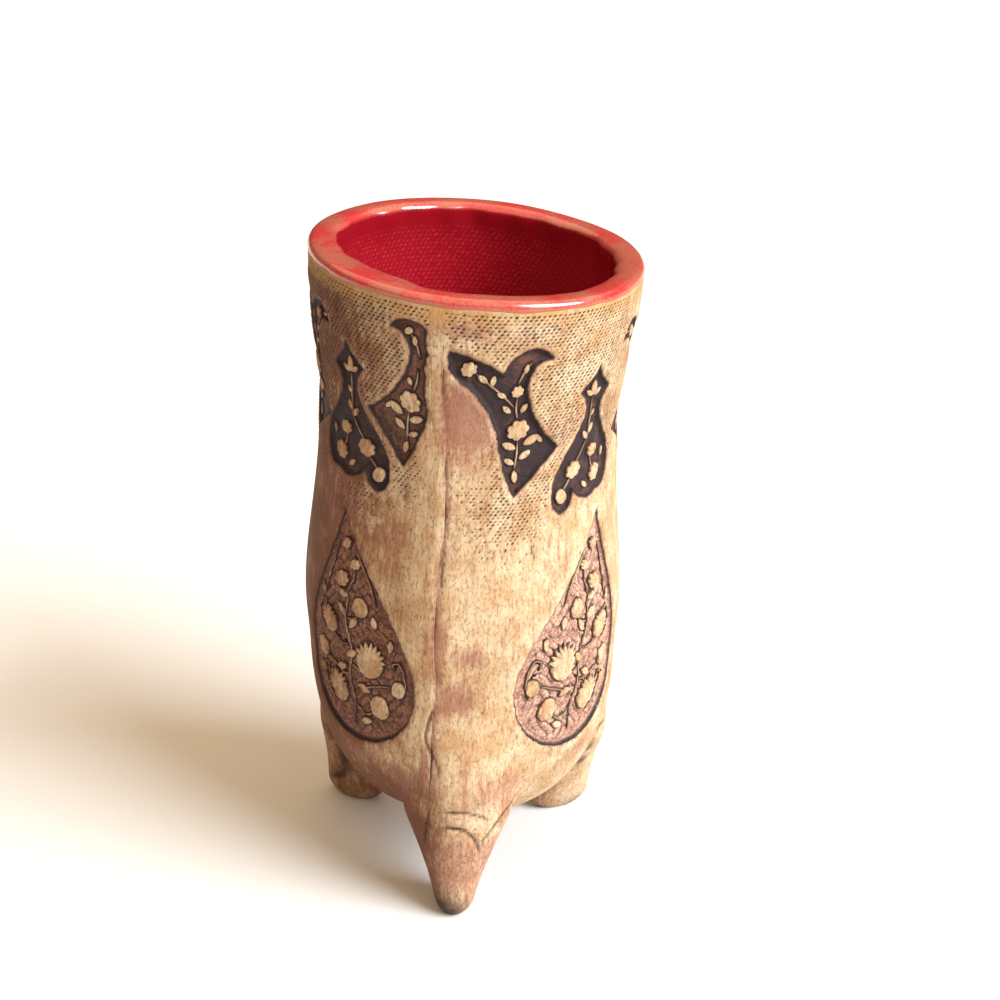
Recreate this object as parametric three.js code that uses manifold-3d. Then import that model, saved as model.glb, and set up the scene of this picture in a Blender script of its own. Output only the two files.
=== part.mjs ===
import * as THREE from 'three';
import { TessellateModifier } from 'three/addons/modifiers/TessellateModifier.js';
import { mergeVertices } from 'three/addons/utils/BufferGeometryUtils.js';
import Module from 'manifold-3d';

// A slab-built vase on three feet, in millimetres, +Z up. It stands on z = 0 with one foot toward -Y.
// Angles are in degrees around the axis, counted from that front foot and positive toward +X.

// Body
const HEIGHT = 178;
const BODY_RADIUS = 43.7; // at the belly, where it is widest
const RIM_NARROWING = 0.3; // the rim's radius under the belly's
const WAIST_NARROWING = 3.5;
const BOWL_NARROWING = 0.8;
const FLAT_RADIUS = 19;
const FLOOR_HEIGHT = 20; // underside of the floor above the table
const JOINT_RISE = 10; // that underside up to the joint below the wall
const BOWL_RISE = 44; // that underside up to the end of the bowl's curve
const BELLY_RISE = 16; // end of the bowl's curve up to the belly
const WAIST_RISE = 48; // belly up to the waist
const WALL = 6;
const FLOOR = 6;
const RIM_TILT = 2.2; // the rim is this much higher on the left and lower on the right
const WAIST_LEAN = 1.2; // the waist stands this far out of line, toward -X

// Seam where the rolled slab's ends meet
const SEAM_ANGLE = -11;
const SEAM_WIDTH = 3;

// Feet, and the keels that run down the wall into them
const FEET = {
  // reach: knee out from the wall; tuck: toe in from the knee; toeDepth: half the toe's length toward the axis
  foot_front: { degrees: 0, reach: 11.3, tuck: 0, toeDepth: 7.5 },
  foot_right: { degrees: 118, reach: 13.2, tuck: 4.5, toeDepth: 9.5 },
  foot_left: { degrees: -118, reach: 13.2, tuck: 2, toeDepth: 9.5 },
};
const KNEE_HALF_WIDTH = 14.5;
const KEEL_SPREAD = 0.2; // half width gained for each millimetre up the wall
const KEEL_FADE = 2.4;
const KEEL_TURN = 0.5; // share of the way up to the belly where the keel has softened into a swell
const KNEE_POWER = 0.5;
const SWELL_POWER = 2;
const TOE_HALF_WIDTH = 4.6;
const TOE_HEIGHT = 4;
const PAD_HALF_WIDTH = 2.8;

// Glaze coat inside and over the rim
const GLAZE = 0.7;
const GLAZE_DROP = 4; // how far it runs down outside

// Slip inlays in impressed panels
const RECESS = 1.8;
const SLIP = 0.7;
const TULIP = { width: 27, height: 40, drop: 30 }; // drop: centre below the rim
const BUD = { width: 23, height: 39, drop: 38 };
const TULIP_TILT = 7; // degrees that each tulip leans toward the seam
const LAST_TULIP_TILT = 16; // the same for the tulip that the seam cuts
const ORNAMENT_COUNT = 11;
const FIRST_ORNAMENT = 25; // degrees past the seam
const LAST_ORNAMENT = 6; // degrees short of the seam
const SEAM_MARGIN = 0.8; // clay left between the seam and a tulip that it cuts
const ROW_SLACK = 0.1; // share by which the row's first steps are longer and its last ones shorter
const ROW_STEP = 6; // the row climbs this much on its way round
const TEARDROP_WIDTH = 41;
const TEARDROP_RISE = 28; // its lowest point above the underside of the floor
const TEARDROP_SPACING = 2; // its tip below the lowest ornament
const TEARDROPS = {
  drop_inlay_left: { degrees: -45, tilt: 6 }, // tilt: degrees that the tip leans to the left
  drop_inlay_right: { degrees: 50, tilt: -12 },
  drop_inlay_back: { degrees: 180, tilt: -5 },
};

// Clearance between touching pieces
const GAP = 0.3;

// Facets
const WALL_SEGMENTS = 56;
const WALL_ROWS = 13;
const ROW_CROWDING = 1.4; // the wall's rows lie closer together toward its foot
const LINER_SEGMENTS = 36;
const FLOOR_SEGMENTS = 32;
const BOWL_STEPS = 5;
const SIDE_STEPS = 4;
const RIM_STEPS = 4;
const FOOT_POINTS = 16;
const FOOT_ROWS = 4;
const TOE_ROWS = 3;
const OUTLINE_STEPS = 4;
const PANEL_EDGE = 8;
const PANEL_PASSES = 16;
const SEAM_SEGMENTS = 2;
const WELD = 1e-4;

const rimRadius = BODY_RADIUS - RIM_NARROWING;
const waistRadius = BODY_RADIUS - WAIST_NARROWING;
const bowlSide = BODY_RADIUS - BOWL_NARROWING;
const jointHeight = FLOOR_HEIGHT + JOINT_RISE;
const floorTop = FLOOR_HEIGHT + FLOOR;
const bowlHeight = FLOOR_HEIGHT + BOWL_RISE;
const bellyHeight = bowlHeight + BELLY_RISE;
const waistHeight = bellyHeight + WAIST_RISE;
const { degToRad, lerp, clamp } = THREE.MathUtils;

const wasm = await Module();
wasm.setup();

function ease(t) {
  return (1 - Math.cos(Math.PI * clamp(t, 0, 1))) / 2;
}

// Quarter-ellipse bowl between the flat bottom and the side
function bowlRadius(z, side, bottom) {
  const depth = clamp((bowlHeight - z) / (bowlHeight - bottom), 0, 1);
  return FLAT_RADIUS + (side - FLAT_RADIUS) * Math.sqrt(1 - depth * depth);
}

function sideRadius(z) {
  if (z < bellyHeight) {
    return lerp(bowlSide, BODY_RADIUS, ease((z - bowlHeight) / BELLY_RISE));
  }
  if (z < waistHeight) {
    return lerp(BODY_RADIUS, waistRadius, ease((z - bellyHeight) / WAIST_RISE));
  }
  return lerp(waistRadius, rimRadius, ease((z - waistHeight) / (HEIGHT - waistHeight)));
}

function bodyRadius(z) {
  return z < bowlHeight ? bowlRadius(z, bowlSide, FLOOR_HEIGHT) : sideRadius(z);
}

function cavityRadius(z, inset) {
  const side = WALL + inset;
  return z < bowlHeight ? bowlRadius(z, bowlSide - side, floorTop + inset) : sideRadius(z) - side;
}

// Height of the keel above one foot: an ellipse at the joint that softens into a swell higher up
function keel(degrees, z) {
  const climb = clamp((z - jointHeight) / (bellyHeight - jointHeight), 0, 1);
  const halfWidth = KNEE_HALF_WIDTH + KEEL_SPREAD * (z - jointHeight);
  const power = lerp(KNEE_POWER, SWELL_POWER, Math.min(1, climb / KEEL_TURN));
  let rise = 0;
  for (const { degrees: foot, reach } of Object.values(FEET)) {
    const across = bodyRadius(z) * degToRad(THREE.MathUtils.euclideanModulo(degrees - foot + 180, 360) - 180);
    const inside = Math.max(0, 1 - (across / halfWidth) ** 2);
    rise += reach * (1 - climb) ** KEEL_FADE * inside ** power;
  }
  return rise;
}

function outerRadius(degrees, z) {
  return bodyRadius(z) + keel(degrees, z);
}

function rimHeight(degrees) {
  return HEIGHT - RIM_TILT * Math.sin(degToRad(degrees));
}

// A point at an angle, distance from the axis and height, with the body's lean
function place(degrees, radius, z) {
  const angle = degToRad(degrees);
  const up = clamp((z - jointHeight) / (HEIGHT - jointHeight), 0, 1);
  const reach = radius - WAIST_LEAN * Math.sin(Math.PI * up) ** 2 * Math.sin(angle);
  return new THREE.Vector3(reach * Math.sin(angle), -reach * Math.cos(angle), z);
}

// Geometry of triangles with shared corners, and without those that shrink to a line
function weld(geometry) {
  geometry.deleteAttribute('normal');
  geometry.deleteAttribute('uv');
  const merged = mergeVertices(geometry, WELD);
  const kept = [];
  for (let i = 0; i < merged.index.count; i += 3) {
    const corners = [0, 1, 2].map((k) => merged.index.getX(i + k));
    if (new Set(corners).size === 3) {
      kept.push(...corners);
    }
  }
  merged.setIndex(kept);
  return merged;
}

function solid(geometry) {
  const vertProperties = new Float32Array(geometry.attributes.position.array);
  const triVerts = new Uint32Array(geometry.index.array);
  return new wasm.Manifold(new wasm.Mesh({ numProp: 3, vertProperties, triVerts }));
}

function cut(geometry, cutters) {
  let body = solid(geometry);
  for (const cutter of cutters) {
    body = body.subtract(solid(cutter));
  }
  const mesh = body.getMesh();
  const result = new THREE.BufferGeometry();
  result.setAttribute('position', new THREE.BufferAttribute(mesh.vertProperties, 3));
  result.setIndex(new THREE.BufferAttribute(mesh.triVerts, 1));
  return result;
}

// Triangles of a flat closed section, which faces back along the sweep
function capFaces(section) {
  const normal = new THREE.Vector3();
  section.forEach((point, i) => normal.add(point.clone().cross(section[(i + 1) % section.length])));
  normal.normalize();
  const across = section[1].clone().sub(section[0]).normalize();
  const up = normal.clone().cross(across);
  const flat = section.map((point) => new THREE.Vector2(point.dot(across), point.dot(up)));
  return THREE.ShapeUtils.triangulateShape(flat, []);
}

// Skin over a row of closed sections; an open row gets a cap on each end
function sweep(sections, closed) {
  const size = sections[0].length;
  const index = [];
  const last = sections.length - 1;
  for (let i = 0; i < sections.length - (closed ? 0 : 1); i++) {
    const here = i * size;
    const next = ((i + 1) % sections.length) * size;
    for (let j = 0; j < size; j++) {
      const k = (j + 1) % size;
      index.push(here + j, next + j, here + k);
      index.push(next + j, next + k, here + k);
    }
  }
  if (!closed) {
    capFaces(sections[0]).forEach((face) => index.push(...face));
    capFaces(sections[last]).forEach(([a, b, c]) => index.push(...[a, c, b].map((k) => last * size + k)));
  }
  const geometry = new THREE.BufferGeometry().setFromPoints(sections.flat());
  geometry.setIndex(index);
  return weld(geometry);
}

// Radius and height pairs across the rim's round top, from outside to inside
function rimArc(degrees, offset) {
  const top = rimHeight(degrees);
  const middle = sideRadius(top) - WALL / 2;
  const radius = WALL / 2 + offset;
  const points = [];
  for (let i = 0; i <= RIM_STEPS; i++) {
    const turn = Math.PI * i / RIM_STEPS;
    points.push([middle + radius * Math.cos(turn), top - WALL / 2 + radius * Math.sin(turn)]);
  }
  return points;
}

// Radius and height pairs up the inside, from the edge of the floor to just under the rim
function cavityLine(degrees, inset) {
  const bottom = floorTop + inset;
  const top = rimHeight(degrees) - WALL / 2;
  const points = [];
  for (let i = 0; i < BOWL_STEPS; i++) {
    const z = bowlHeight - (bowlHeight - bottom) * Math.cos(Math.PI / 2 * i / BOWL_STEPS);
    points.push([cavityRadius(z, inset), z]);
  }
  for (let i = 0; i < SIDE_STEPS; i++) {
    const z = lerp(bowlHeight, top, i / SIDE_STEPS);
    points.push([cavityRadius(z, inset), z]);
  }
  return points;
}

function wallSection(degrees) {
  const bottom = jointHeight + GAP / 2;
  const top = rimHeight(degrees) - WALL / 2;
  const outside = [];
  for (let i = 0; i < WALL_ROWS; i++) {
    const z = lerp(bottom, top, (i / WALL_ROWS) ** ROW_CROWDING);
    outside.push([outerRadius(degrees, z), z]);
  }
  const inside = cavityLine(degrees, 0).filter(([, z]) => z > bottom + GAP);
  inside.unshift([cavityRadius(bottom, 0), bottom]);
  const outline = [...outside, ...rimArc(degrees, 0), ...inside.reverse()];
  return outline.map(([radius, z]) => place(degrees, radius, z));
}

// Slab from one angle to another
function slab(from, to, segments) {
  const sections = [];
  for (let i = 0; i <= segments; i++) {
    sections.push(wallSection(lerp(from, to, i / segments)));
  }
  return sweep(sections, false);
}

function seamHalfAngle(clearance) {
  return THREE.MathUtils.radToDeg((SEAM_WIDTH / 2 - clearance) / waistRadius);
}

function wallSlab(panels) {
  const half = seamHalfAngle(0);
  const whole = slab(SEAM_ANGLE + half, SEAM_ANGLE + 360 - half, WALL_SEGMENTS);
  return cut(whole, panels.map((panel) => panel.cutter));
}

function seamCoil() {
  const half = seamHalfAngle(GAP);
  return slab(SEAM_ANGLE - half, SEAM_ANGLE + half, SEAM_SEGMENTS);
}

// Lathe profile of the floor's outside, from the flat bottom up to a height
function floorOutside(top, offset) {
  const points = [new THREE.Vector2(0, FLOOR_HEIGHT - offset)];
  for (let i = 0; i <= BOWL_STEPS; i++) {
    const z = lerp(FLOOR_HEIGHT, top, (i / BOWL_STEPS) ** 2);
    points.push(new THREE.Vector2(bodyRadius(z) + offset, z - (i === 0 ? offset : 0)));
  }
  return points;
}

function lathe(points) {
  return weld(new THREE.LatheGeometry(points, FLOOR_SEGMENTS).rotateX(Math.PI / 2));
}

function floorSlab() {
  const top = jointHeight - GAP / 2;
  const inside = cavityLine(0, 0).filter(([, z]) => z < top - GAP);
  inside.push([cavityRadius(top, 0), top]);
  const dish = inside.reverse().map(([radius, z]) => new THREE.Vector2(radius, z));
  return lathe([...floorOutside(top, 0), ...dish, new THREE.Vector2(0, floorTop)]);
}

// Foot as a tapering horn from the pad up to the joint, hollowed where the floor sits
function foot({ degrees, reach, tuck, toeDepth }) {
  const top = jointHeight - GAP / 2;
  const knee = bodyRadius(jointHeight) + reach;
  const heights = [];
  for (let i = 0; i < TOE_ROWS; i++) {
    heights.push(TOE_HEIGHT * (i / TOE_ROWS) ** 2);
  }
  for (let i = 0; i <= FOOT_ROWS; i++) {
    heights.push(lerp(TOE_HEIGHT, top, i / FOOT_ROWS));
  }
  const sections = heights.map((z) => {
    const climb = clamp((z - TOE_HEIGHT) / (top - TOE_HEIGHT), 0, 1);
    const roundness = Math.sin(Math.PI / 2 * Math.min(1, z / TOE_HEIGHT));
    const size = lerp(PAD_HALF_WIDTH / TOE_HALF_WIDTH, 1, roundness);
    const halfDepth = lerp(toeDepth, reach, climb);
    const outside = knee - tuck * (1 - climb);
    const halfWidth = lerp(TOE_HALF_WIDTH, KNEE_HALF_WIDTH, climb);
    const ring = [];
    for (let j = 0; j < FOOT_POINTS; j++) {
      const turn = -2 * Math.PI * j / FOOT_POINTS;
      const across = size * halfWidth * Math.cos(turn);
      const out = outside - halfDepth + size * halfDepth * Math.sin(turn);
      ring.push(new THREE.Vector3(across, -out, z));
    }
    return ring.reverse();
  });
  const horn = sweep(sections, false).rotateZ(degToRad(degrees));
  const above = new THREE.Vector2(0, jointHeight + GAP);
  return cut(horn, [lathe([...floorOutside(jointHeight + GAP, GAP), above])]);
}

function glazeLiner() {
  const sections = [];
  const edge = GLAZE_DROP - WALL / 2;
  for (let i = 0; i < LINER_SEGMENTS; i++) {
    const degrees = 360 * i / LINER_SEGMENTS;
    const low = rimHeight(degrees) - WALL / 2 - edge;
    const lip = outerRadius(degrees, low);
    const outline = [
      [0, floorTop + GAP],
      ...cavityLine(degrees, GAP),
      ...rimArc(degrees, GAP).reverse(),
      [lip + GAP, low],
      [lip + GAP + GLAZE, low],
      ...rimArc(degrees, GAP + GLAZE),
      ...cavityLine(degrees, GAP + GLAZE).reverse(),
      [0, floorTop + GAP + GLAZE],
    ];
    sections.push(outline.map(([radius, z]) => place(degrees, radius, z)));
  }
  return sweep(sections, true);
}

// Flat outlines with their middle at the origin. The side away from the seam is at +x where side is 1.

// A tulip with two hooked arms and two corners; a worn one has lost a hook and a corner on the seam's side
function tulipOutline({ width, height }, side, worn) {
  const w = side * width / 2;
  const h = height / 2;
  const shape = new THREE.Shape();
  shape.moveTo(0, -h);
  shape.bezierCurveTo(0.3 * w, -0.85 * h, 0.68 * w, -0.62 * h, w, -0.46 * h);
  shape.bezierCurveTo(0.72 * w, -0.28 * h, 0.42 * w, 0.05 * h, 0.4 * w, 0.42 * h);
  shape.bezierCurveTo(0.4 * w, 0.66 * h, 0.62 * w, 0.84 * h, 0.92 * w, 0.8 * h);
  shape.bezierCurveTo(0.78 * w, 1.06 * h, 0.2 * w, 1.06 * h, 0, 0.7 * h);
  if (worn) {
    shape.bezierCurveTo(-0.2 * w, 0.85 * h, -0.55 * w, h, -0.95 * w, 1.1 * h);
    shape.bezierCurveTo(-1.08 * w, h, -0.95 * w, 0.78 * h, -0.75 * w, 0.64 * h);
    shape.bezierCurveTo(-0.45 * w, 0.45 * h, -0.26 * w, 0.1 * h, -0.22 * w, -0.15 * h);
    shape.bezierCurveTo(-0.2 * w, -0.45 * h, -0.14 * w, -0.8 * h, 0, -h);
    return shape;
  }
  shape.bezierCurveTo(-0.2 * w, 1.06 * h, -0.78 * w, 1.06 * h, -0.92 * w, 0.8 * h);
  shape.bezierCurveTo(-0.62 * w, 0.84 * h, -0.4 * w, 0.66 * h, -0.4 * w, 0.42 * h);
  shape.bezierCurveTo(-0.42 * w, 0.05 * h, -0.72 * w, -0.28 * h, -w, -0.46 * h);
  shape.bezierCurveTo(-0.68 * w, -0.62 * h, -0.3 * w, -0.85 * h, 0, -h);
  return shape;
}

// A bud with a pointed crown, and a curl at its foot on the side toward the seam
function budOutline({ width, height }, side) {
  const w = side * width / 2;
  const h = height / 2;
  const shape = new THREE.Shape();
  shape.moveTo(0.05 * w, h);
  shape.bezierCurveTo(-0.05 * w, 0.88 * h, -0.25 * w, 0.78 * h, -0.45 * w, 0.68 * h);
  shape.bezierCurveTo(-0.3 * w, 0.6 * h, -0.2 * w, 0.52 * h, -0.2 * w, 0.42 * h);
  shape.bezierCurveTo(-0.25 * w, 0.05 * h, -0.75 * w, -0.1 * h, -w, -0.55 * h);
  shape.bezierCurveTo(-1.1 * w, -0.85 * h, -0.85 * w, -1.05 * h, -0.7 * w, -h);
  shape.bezierCurveTo(-0.5 * w, -0.95 * h, -0.42 * w, -0.85 * h, -0.4 * w, -0.7 * h);
  shape.bezierCurveTo(-0.2 * w, -0.92 * h, 0.2 * w, -0.95 * h, 0.45 * w, -0.85 * h);
  shape.bezierCurveTo(0.8 * w, -0.9 * h, 1.05 * w, -0.75 * h, w, -0.5 * h);
  shape.bezierCurveTo(0.9 * w, -0.1 * h, 0.3 * w, 0.05 * h, 0.25 * w, 0.42 * h);
  shape.bezierCurveTo(0.25 * w, 0.5 * h, 0.35 * w, 0.58 * h, 0.5 * w, 0.64 * h);
  shape.bezierCurveTo(0.3 * w, 0.75 * h, 0.12 * w, 0.85 * h, 0.05 * w, h);
  return shape;
}

function teardropOutline(height) {
  const w = TEARDROP_WIDTH / 2;
  const h = height / 2;
  const shape = new THREE.Shape();
  shape.moveTo(0, -h);
  shape.bezierCurveTo(0.55 * w, -h, w, -0.75 * h, w, -0.4 * h);
  shape.bezierCurveTo(w, 0, 0.4 * w, 0.4 * h, 0, h);
  shape.bezierCurveTo(-0.4 * w, 0.4 * h, -w, 0, -w, -0.4 * h);
  shape.bezierCurveTo(-w, -0.75 * h, -0.55 * w, -h, 0, -h);
  return shape;
}

// Counter-clockwise points of an outline, tilted to the left
function outlinePoints(shape, tilt) {
  const points = shape.getPoints(OUTLINE_STEPS);
  points.pop();
  if (THREE.ShapeUtils.isClockWise(points)) {
    points.reverse();
  }
  const middle = new THREE.Vector2();
  return points.map((point) => point.rotateAround(middle, degToRad(tilt)));
}

// The part of an outline on one side of an upright line: to its left for side -1, to its right for side 1
function clip(points, edge, side) {
  const kept = [];
  points.forEach((point, i) => {
    const next = points[(i + 1) % points.length];
    const here = side * (point.x - edge);
    const there = side * (next.x - edge);
    if (here >= 0) {
      kept.push(point);
    }
    if (here * there < 0) {
      kept.push(point.clone().lerp(next, here / (here - there)));
    }
  });
  return kept;
}

// An outline without what would run into the seam
function clipAtSeam(points, degrees, height) {
  const margin = SEAM_WIDTH / 2 + SEAM_MARGIN;
  const before = degToRad(degrees - SEAM_ANGLE) * bodyRadius(height);
  const after = degToRad(SEAM_ANGLE + 360 - degrees) * bodyRadius(height);
  return clip(clip(points, margin - before, 1), after - margin, -1);
}

// The same counter-clockwise outline with every edge moved inward
function shrink(points, distance) {
  return points.map((point, i) => {
    const before = point.clone().sub(points.at(i - 1)).normalize();
    const after = points[(i + 1) % points.length].clone().sub(point).normalize();
    const both = new THREE.Vector2(-before.y - after.y, before.x + after.x);
    return point.clone().addScaledVector(both, 2 * distance / both.lengthSq());
  });
}

// Plate of a flat outline bent round the wall, between two distances from its surface
function plate(points, from, to, degrees, height) {
  const flat = new THREE.ExtrudeGeometry(new THREE.Shape(points), { depth: to - from, bevelEnabled: false });
  const geometry = new TessellateModifier(PANEL_EDGE, PANEL_PASSES).modify(flat);
  const position = geometry.attributes.position;
  const radius = bodyRadius(height);
  for (let i = 0; i < position.count; i++) {
    const angle = degrees + THREE.MathUtils.radToDeg(position.getX(i) / radius);
    const z = height + position.getY(i);
    const point = place(angle, outerRadius(angle, z) + from + position.getZ(i), z);
    position.setXYZ(i, point.x, point.y, point.z);
  }
  return weld(geometry);
}

function panel(name, points, degrees, height) {
  const cutter = plate(points, -RECESS, RECESS, degrees, height);
  const inlay = plate(shrink(points, GAP), GAP - RECESS, GAP + SLIP - RECESS, degrees, height);
  return { name, cutter, inlay };
}

// Tulips and buds by turns in a row under the rim, from one side of the seam round to the other
function ornamentRow() {
  const panels = [];
  const span = 360 - FIRST_ORNAMENT - LAST_ORNAMENT;
  for (let i = 0; i < ORNAMENT_COUNT; i++) {
    const along = i / (ORNAMENT_COUNT - 1);
    const degrees = SEAM_ANGLE + FIRST_ORNAMENT + span * along * (1 + ROW_SLACK * (1 - along));
    const climb = ROW_STEP * (along - 0.5);
    const side = along < 0.5 ? 1 : -1;
    const last = i === ORNAMENT_COUNT - 1;
    const number = Math.floor(i / 2) + 1;
    if (i % 2 === 0) {
      const height = HEIGHT - TULIP.drop + climb;
      const tilt = side * (last ? LAST_TULIP_TILT : TULIP_TILT);
      const points = outlinePoints(tulipOutline(TULIP, side, i === 0 || last), tilt);
      panels.push(panel(`tulip_inlay_${number}`, clipAtSeam(points, degrees, height), degrees, height));
    } else {
      const height = HEIGHT - BUD.drop + climb;
      panels.push(panel(`bud_inlay_${number}`, outlinePoints(budOutline(BUD, side), 0), degrees, height));
    }
  }
  return panels;
}

function teardrops() {
  const low = FLOOR_HEIGHT + TEARDROP_RISE;
  const rowLow = HEIGHT - Math.max(TULIP.drop + TULIP.height / 2, BUD.drop + BUD.height / 2) - ROW_STEP / 2;
  const height = rowLow - TEARDROP_SPACING - low;
  return Object.entries(TEARDROPS).map(([name, { degrees, tilt }]) => {
    return panel(name, outlinePoints(teardropOutline(height), tilt), degrees, low + height / 2);
  });
}

const clay = new THREE.MeshStandardMaterial({ color: 0xd2b184, roughness: 0.8, metalness: 0 });
const slip = new THREE.MeshStandardMaterial({ color: 0x4a3236, roughness: 0.7, metalness: 0 });
const glaze = new THREE.MeshStandardMaterial({ color: 0xa3121f, roughness: 0.15, metalness: 0 });

const vase = new THREE.Group();

function add(name, geometry, material) {
  const mesh = new THREE.Mesh(geometry, material.clone());
  mesh.name = name;
  vase.add(mesh);
}

const panels = [...ornamentRow(), ...teardrops()];
add('wall_slab', wallSlab(panels), clay);
add('seam_coil', seamCoil(), clay);
add('floor_slab', floorSlab(), clay);
Object.entries(FEET).forEach(([name, placing]) => add(name, foot(placing), clay));
add('glaze_liner', glazeLiner(), glaze);
panels.forEach(({ name, inlay }) => add(name, inlay, slip));

export default vase;
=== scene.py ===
import math
from contextlib import contextmanager

import bpy
import numpy as np
from mathutils import Matrix, Vector
from mathutils.bvhtree import BVHTree
from mathutils.geometry import delaunay_2d_cdt


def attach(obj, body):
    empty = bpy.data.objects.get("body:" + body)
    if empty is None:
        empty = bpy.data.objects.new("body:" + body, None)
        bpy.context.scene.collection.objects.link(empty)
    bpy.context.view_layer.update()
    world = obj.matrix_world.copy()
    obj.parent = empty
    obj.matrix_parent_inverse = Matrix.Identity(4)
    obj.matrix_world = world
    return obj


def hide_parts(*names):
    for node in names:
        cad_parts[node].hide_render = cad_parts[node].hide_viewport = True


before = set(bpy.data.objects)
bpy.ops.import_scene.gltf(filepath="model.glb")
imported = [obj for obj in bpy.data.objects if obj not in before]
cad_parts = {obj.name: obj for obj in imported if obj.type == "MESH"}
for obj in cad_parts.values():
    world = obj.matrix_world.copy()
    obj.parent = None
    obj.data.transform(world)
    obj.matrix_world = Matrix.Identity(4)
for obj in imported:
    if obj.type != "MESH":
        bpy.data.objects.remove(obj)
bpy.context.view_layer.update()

# A slab-built vase on three feet. Lengths are in millimetres until a mesh is written, angles in
# degrees round the axis from the front foot, positive toward +X.
MM = 0.001

# Body
HEIGHT = 178
BODY_RADIUS = 43.7
RIM_RADIUS = 43.4
WAIST_RADIUS = 40.2
BOWL_RADIUS = 42.9
FLAT_RADIUS = 19
FLOOR_HEIGHT = 20
FLOOR_TOP = 26
JOINT = 30
BOWL_TOP = 64
BELLY = 80
WAIST = 128
WALL = 6
CAP = 2.3
RIM_TILT = 2.2
WAIST_LEAN = 1.2
COAT = 1.0

# Seam
SEAM_ANGLE = -11
SEAM_HALF = math.degrees(1.5 / WAIST_RADIUS)
SEAM_MARGIN = 2.3
PINCH_HEIGHT = 159

# Feet: angle, reach of the knee, tuck of the toe, half the toe's length toward the axis, half its width
FEET = {
    "foot_front": (0, 11.2, 0, 7.5, 5.6),
    "foot_right": (118, 10.8, 2.4, 9.5, 4.4),
    "foot_left": (-118, 11.0, 0, 9.5, 5.2),
}
KNEE_HALF = 14.5
KEEL_SPREAD = 0.2
TOE_HEIGHT = 4
PAD_SHARE = 0.61
# Form that the feet and the bowl are joined and smoothed in
HORN_OVERLAP = 3
FORM_TOP = 100
FORM_BLEND = (68, 85)
VOXEL = 0.8
SOFT_PASSES = 60

# Wall mesh
COLUMNS = 380
LOW_ROWS = 96
LINEN_ROWS = 140
RIM_ROWS = 8
BACK_ROWS = 10
LINEN_START = 112.5
PIT_DEPTH = 0.4
# Share of a pit's depth in the points above and below it
PIT_TAIL = 0.18

# Glaze mesh, in rows over the rim, down the side, round the bowl and over the floor
GLAZE_COLUMNS = 300
GLAZE_RIM = 22
GLAZE_SIDE = 116
GLAZE_BOWL = 14
GLAZE_FLOOR = 6
GLAZE_SHELL = 0.7
CLOTH_PRINT = 0.16

# Panels: a row that climbs round the vase from the seam, and three teardrops below it
ROW_COUNT = 11
ROW_START = 25
ROW_SPAN = 329
ROW_CLIMB = 6
TULIP_HEIGHT = 148
BUD_HEIGHT = 140
DROP_HEIGHT = 81.75
# Teardrops: place, angle, side, tilt
DROPS = (("left", -45, 1, 6), ("right", 50, -1, -12), ("back", 180, 1, -5))
PANEL_CUT = 2.6
PANEL_FLOOR = 1.25
INLAY = 0.75
INLAY_CELL = 0.55
DROP_CELL = 0.45
OUTLINE_STEPS = 26
OUTLINE_PITCH = 0.7
# Panels whose slip is rubbed paler than the rest; the right teardrop's palest slip is also painted
# light, for the strong light on that side
PALE_GROUND_AND_LIGHT = {
    "drop_inlay_left": 0.42,
    "drop_inlay_right": 1,
    "drop_inlay_back": 0.75,
    "tulip_inlay_6": 0.25,
}

rng = np.random.default_rng(11)


def ease(t):
    return (1 - np.cos(np.pi * np.clip(t, 0, 1))) / 2


def fade(low, high, x):
    t = np.clip((x - low) / (high - low), 0, 1)
    return t * t * (3 - 2 * t)


def lerp(a, b, t):
    return a + (b - a) * t


def hump(x, width):
    return np.exp(-((x / width) ** 2))


def turn(degrees):
    return (degrees + 180) % 360 - 180


# Shape of the body

def bowl_radius(z, side, bottom):
    depth = np.clip((BOWL_TOP - z) / (BOWL_TOP - bottom), 0, 1)
    return FLAT_RADIUS + (side - FLAT_RADIUS) * np.sqrt(1 - depth**2)


def side_radius(z):
    belly = lerp(BOWL_RADIUS, BODY_RADIUS, ease((z - BOWL_TOP) / (BELLY - BOWL_TOP)))
    waist = lerp(BODY_RADIUS, WAIST_RADIUS, ease((z - BELLY) / (WAIST - BELLY)))
    rim = lerp(WAIST_RADIUS, RIM_RADIUS, ease((z - WAIST) / (HEIGHT - WAIST)))
    return np.where(z < BELLY, belly, np.where(z < WAIST, waist, rim))


def body_radius(z):
    return np.where(z < BOWL_TOP, bowl_radius(z, BOWL_RADIUS, FLOOR_HEIGHT), side_radius(z))


def cavity_radius(z, inset):
    side = WALL + inset
    bowl = bowl_radius(z, BOWL_RADIUS - side, FLOOR_TOP + inset)
    return np.where(z < BOWL_TOP, bowl, side_radius(z) - side)


def keel(degrees, z):
    climb = np.clip((z - JOINT) / (BELLY - JOINT), 0, 1)
    half = KNEE_HALF + KEEL_SPREAD * (z - JOINT)
    power = lerp(0.5, 2, np.minimum(1, climb / 0.5))
    rise = np.zeros_like(z)
    for foot, reach, *_ in FEET.values():
        across = body_radius(z) * np.radians(turn(degrees - foot))
        rise += reach * (1 - climb) ** 2.4 * np.maximum(0, 1 - (across / half) ** 2) ** power
    return np.where(z < JOINT, 0, rise)


def lean(degrees, z):
    up = np.clip((z - JOINT) / (HEIGHT - JOINT), 0, 1)
    return WAIST_LEAN * np.sin(np.pi * up) ** 2 * np.sin(np.radians(degrees))


def rim_height(degrees):
    return HEIGHT - RIM_TILT * np.sin(np.radians(degrees))


def at(degrees, reach, z):
    angle = np.radians(degrees)
    return np.column_stack([reach * np.sin(angle), -reach * np.cos(angle), z])


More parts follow.
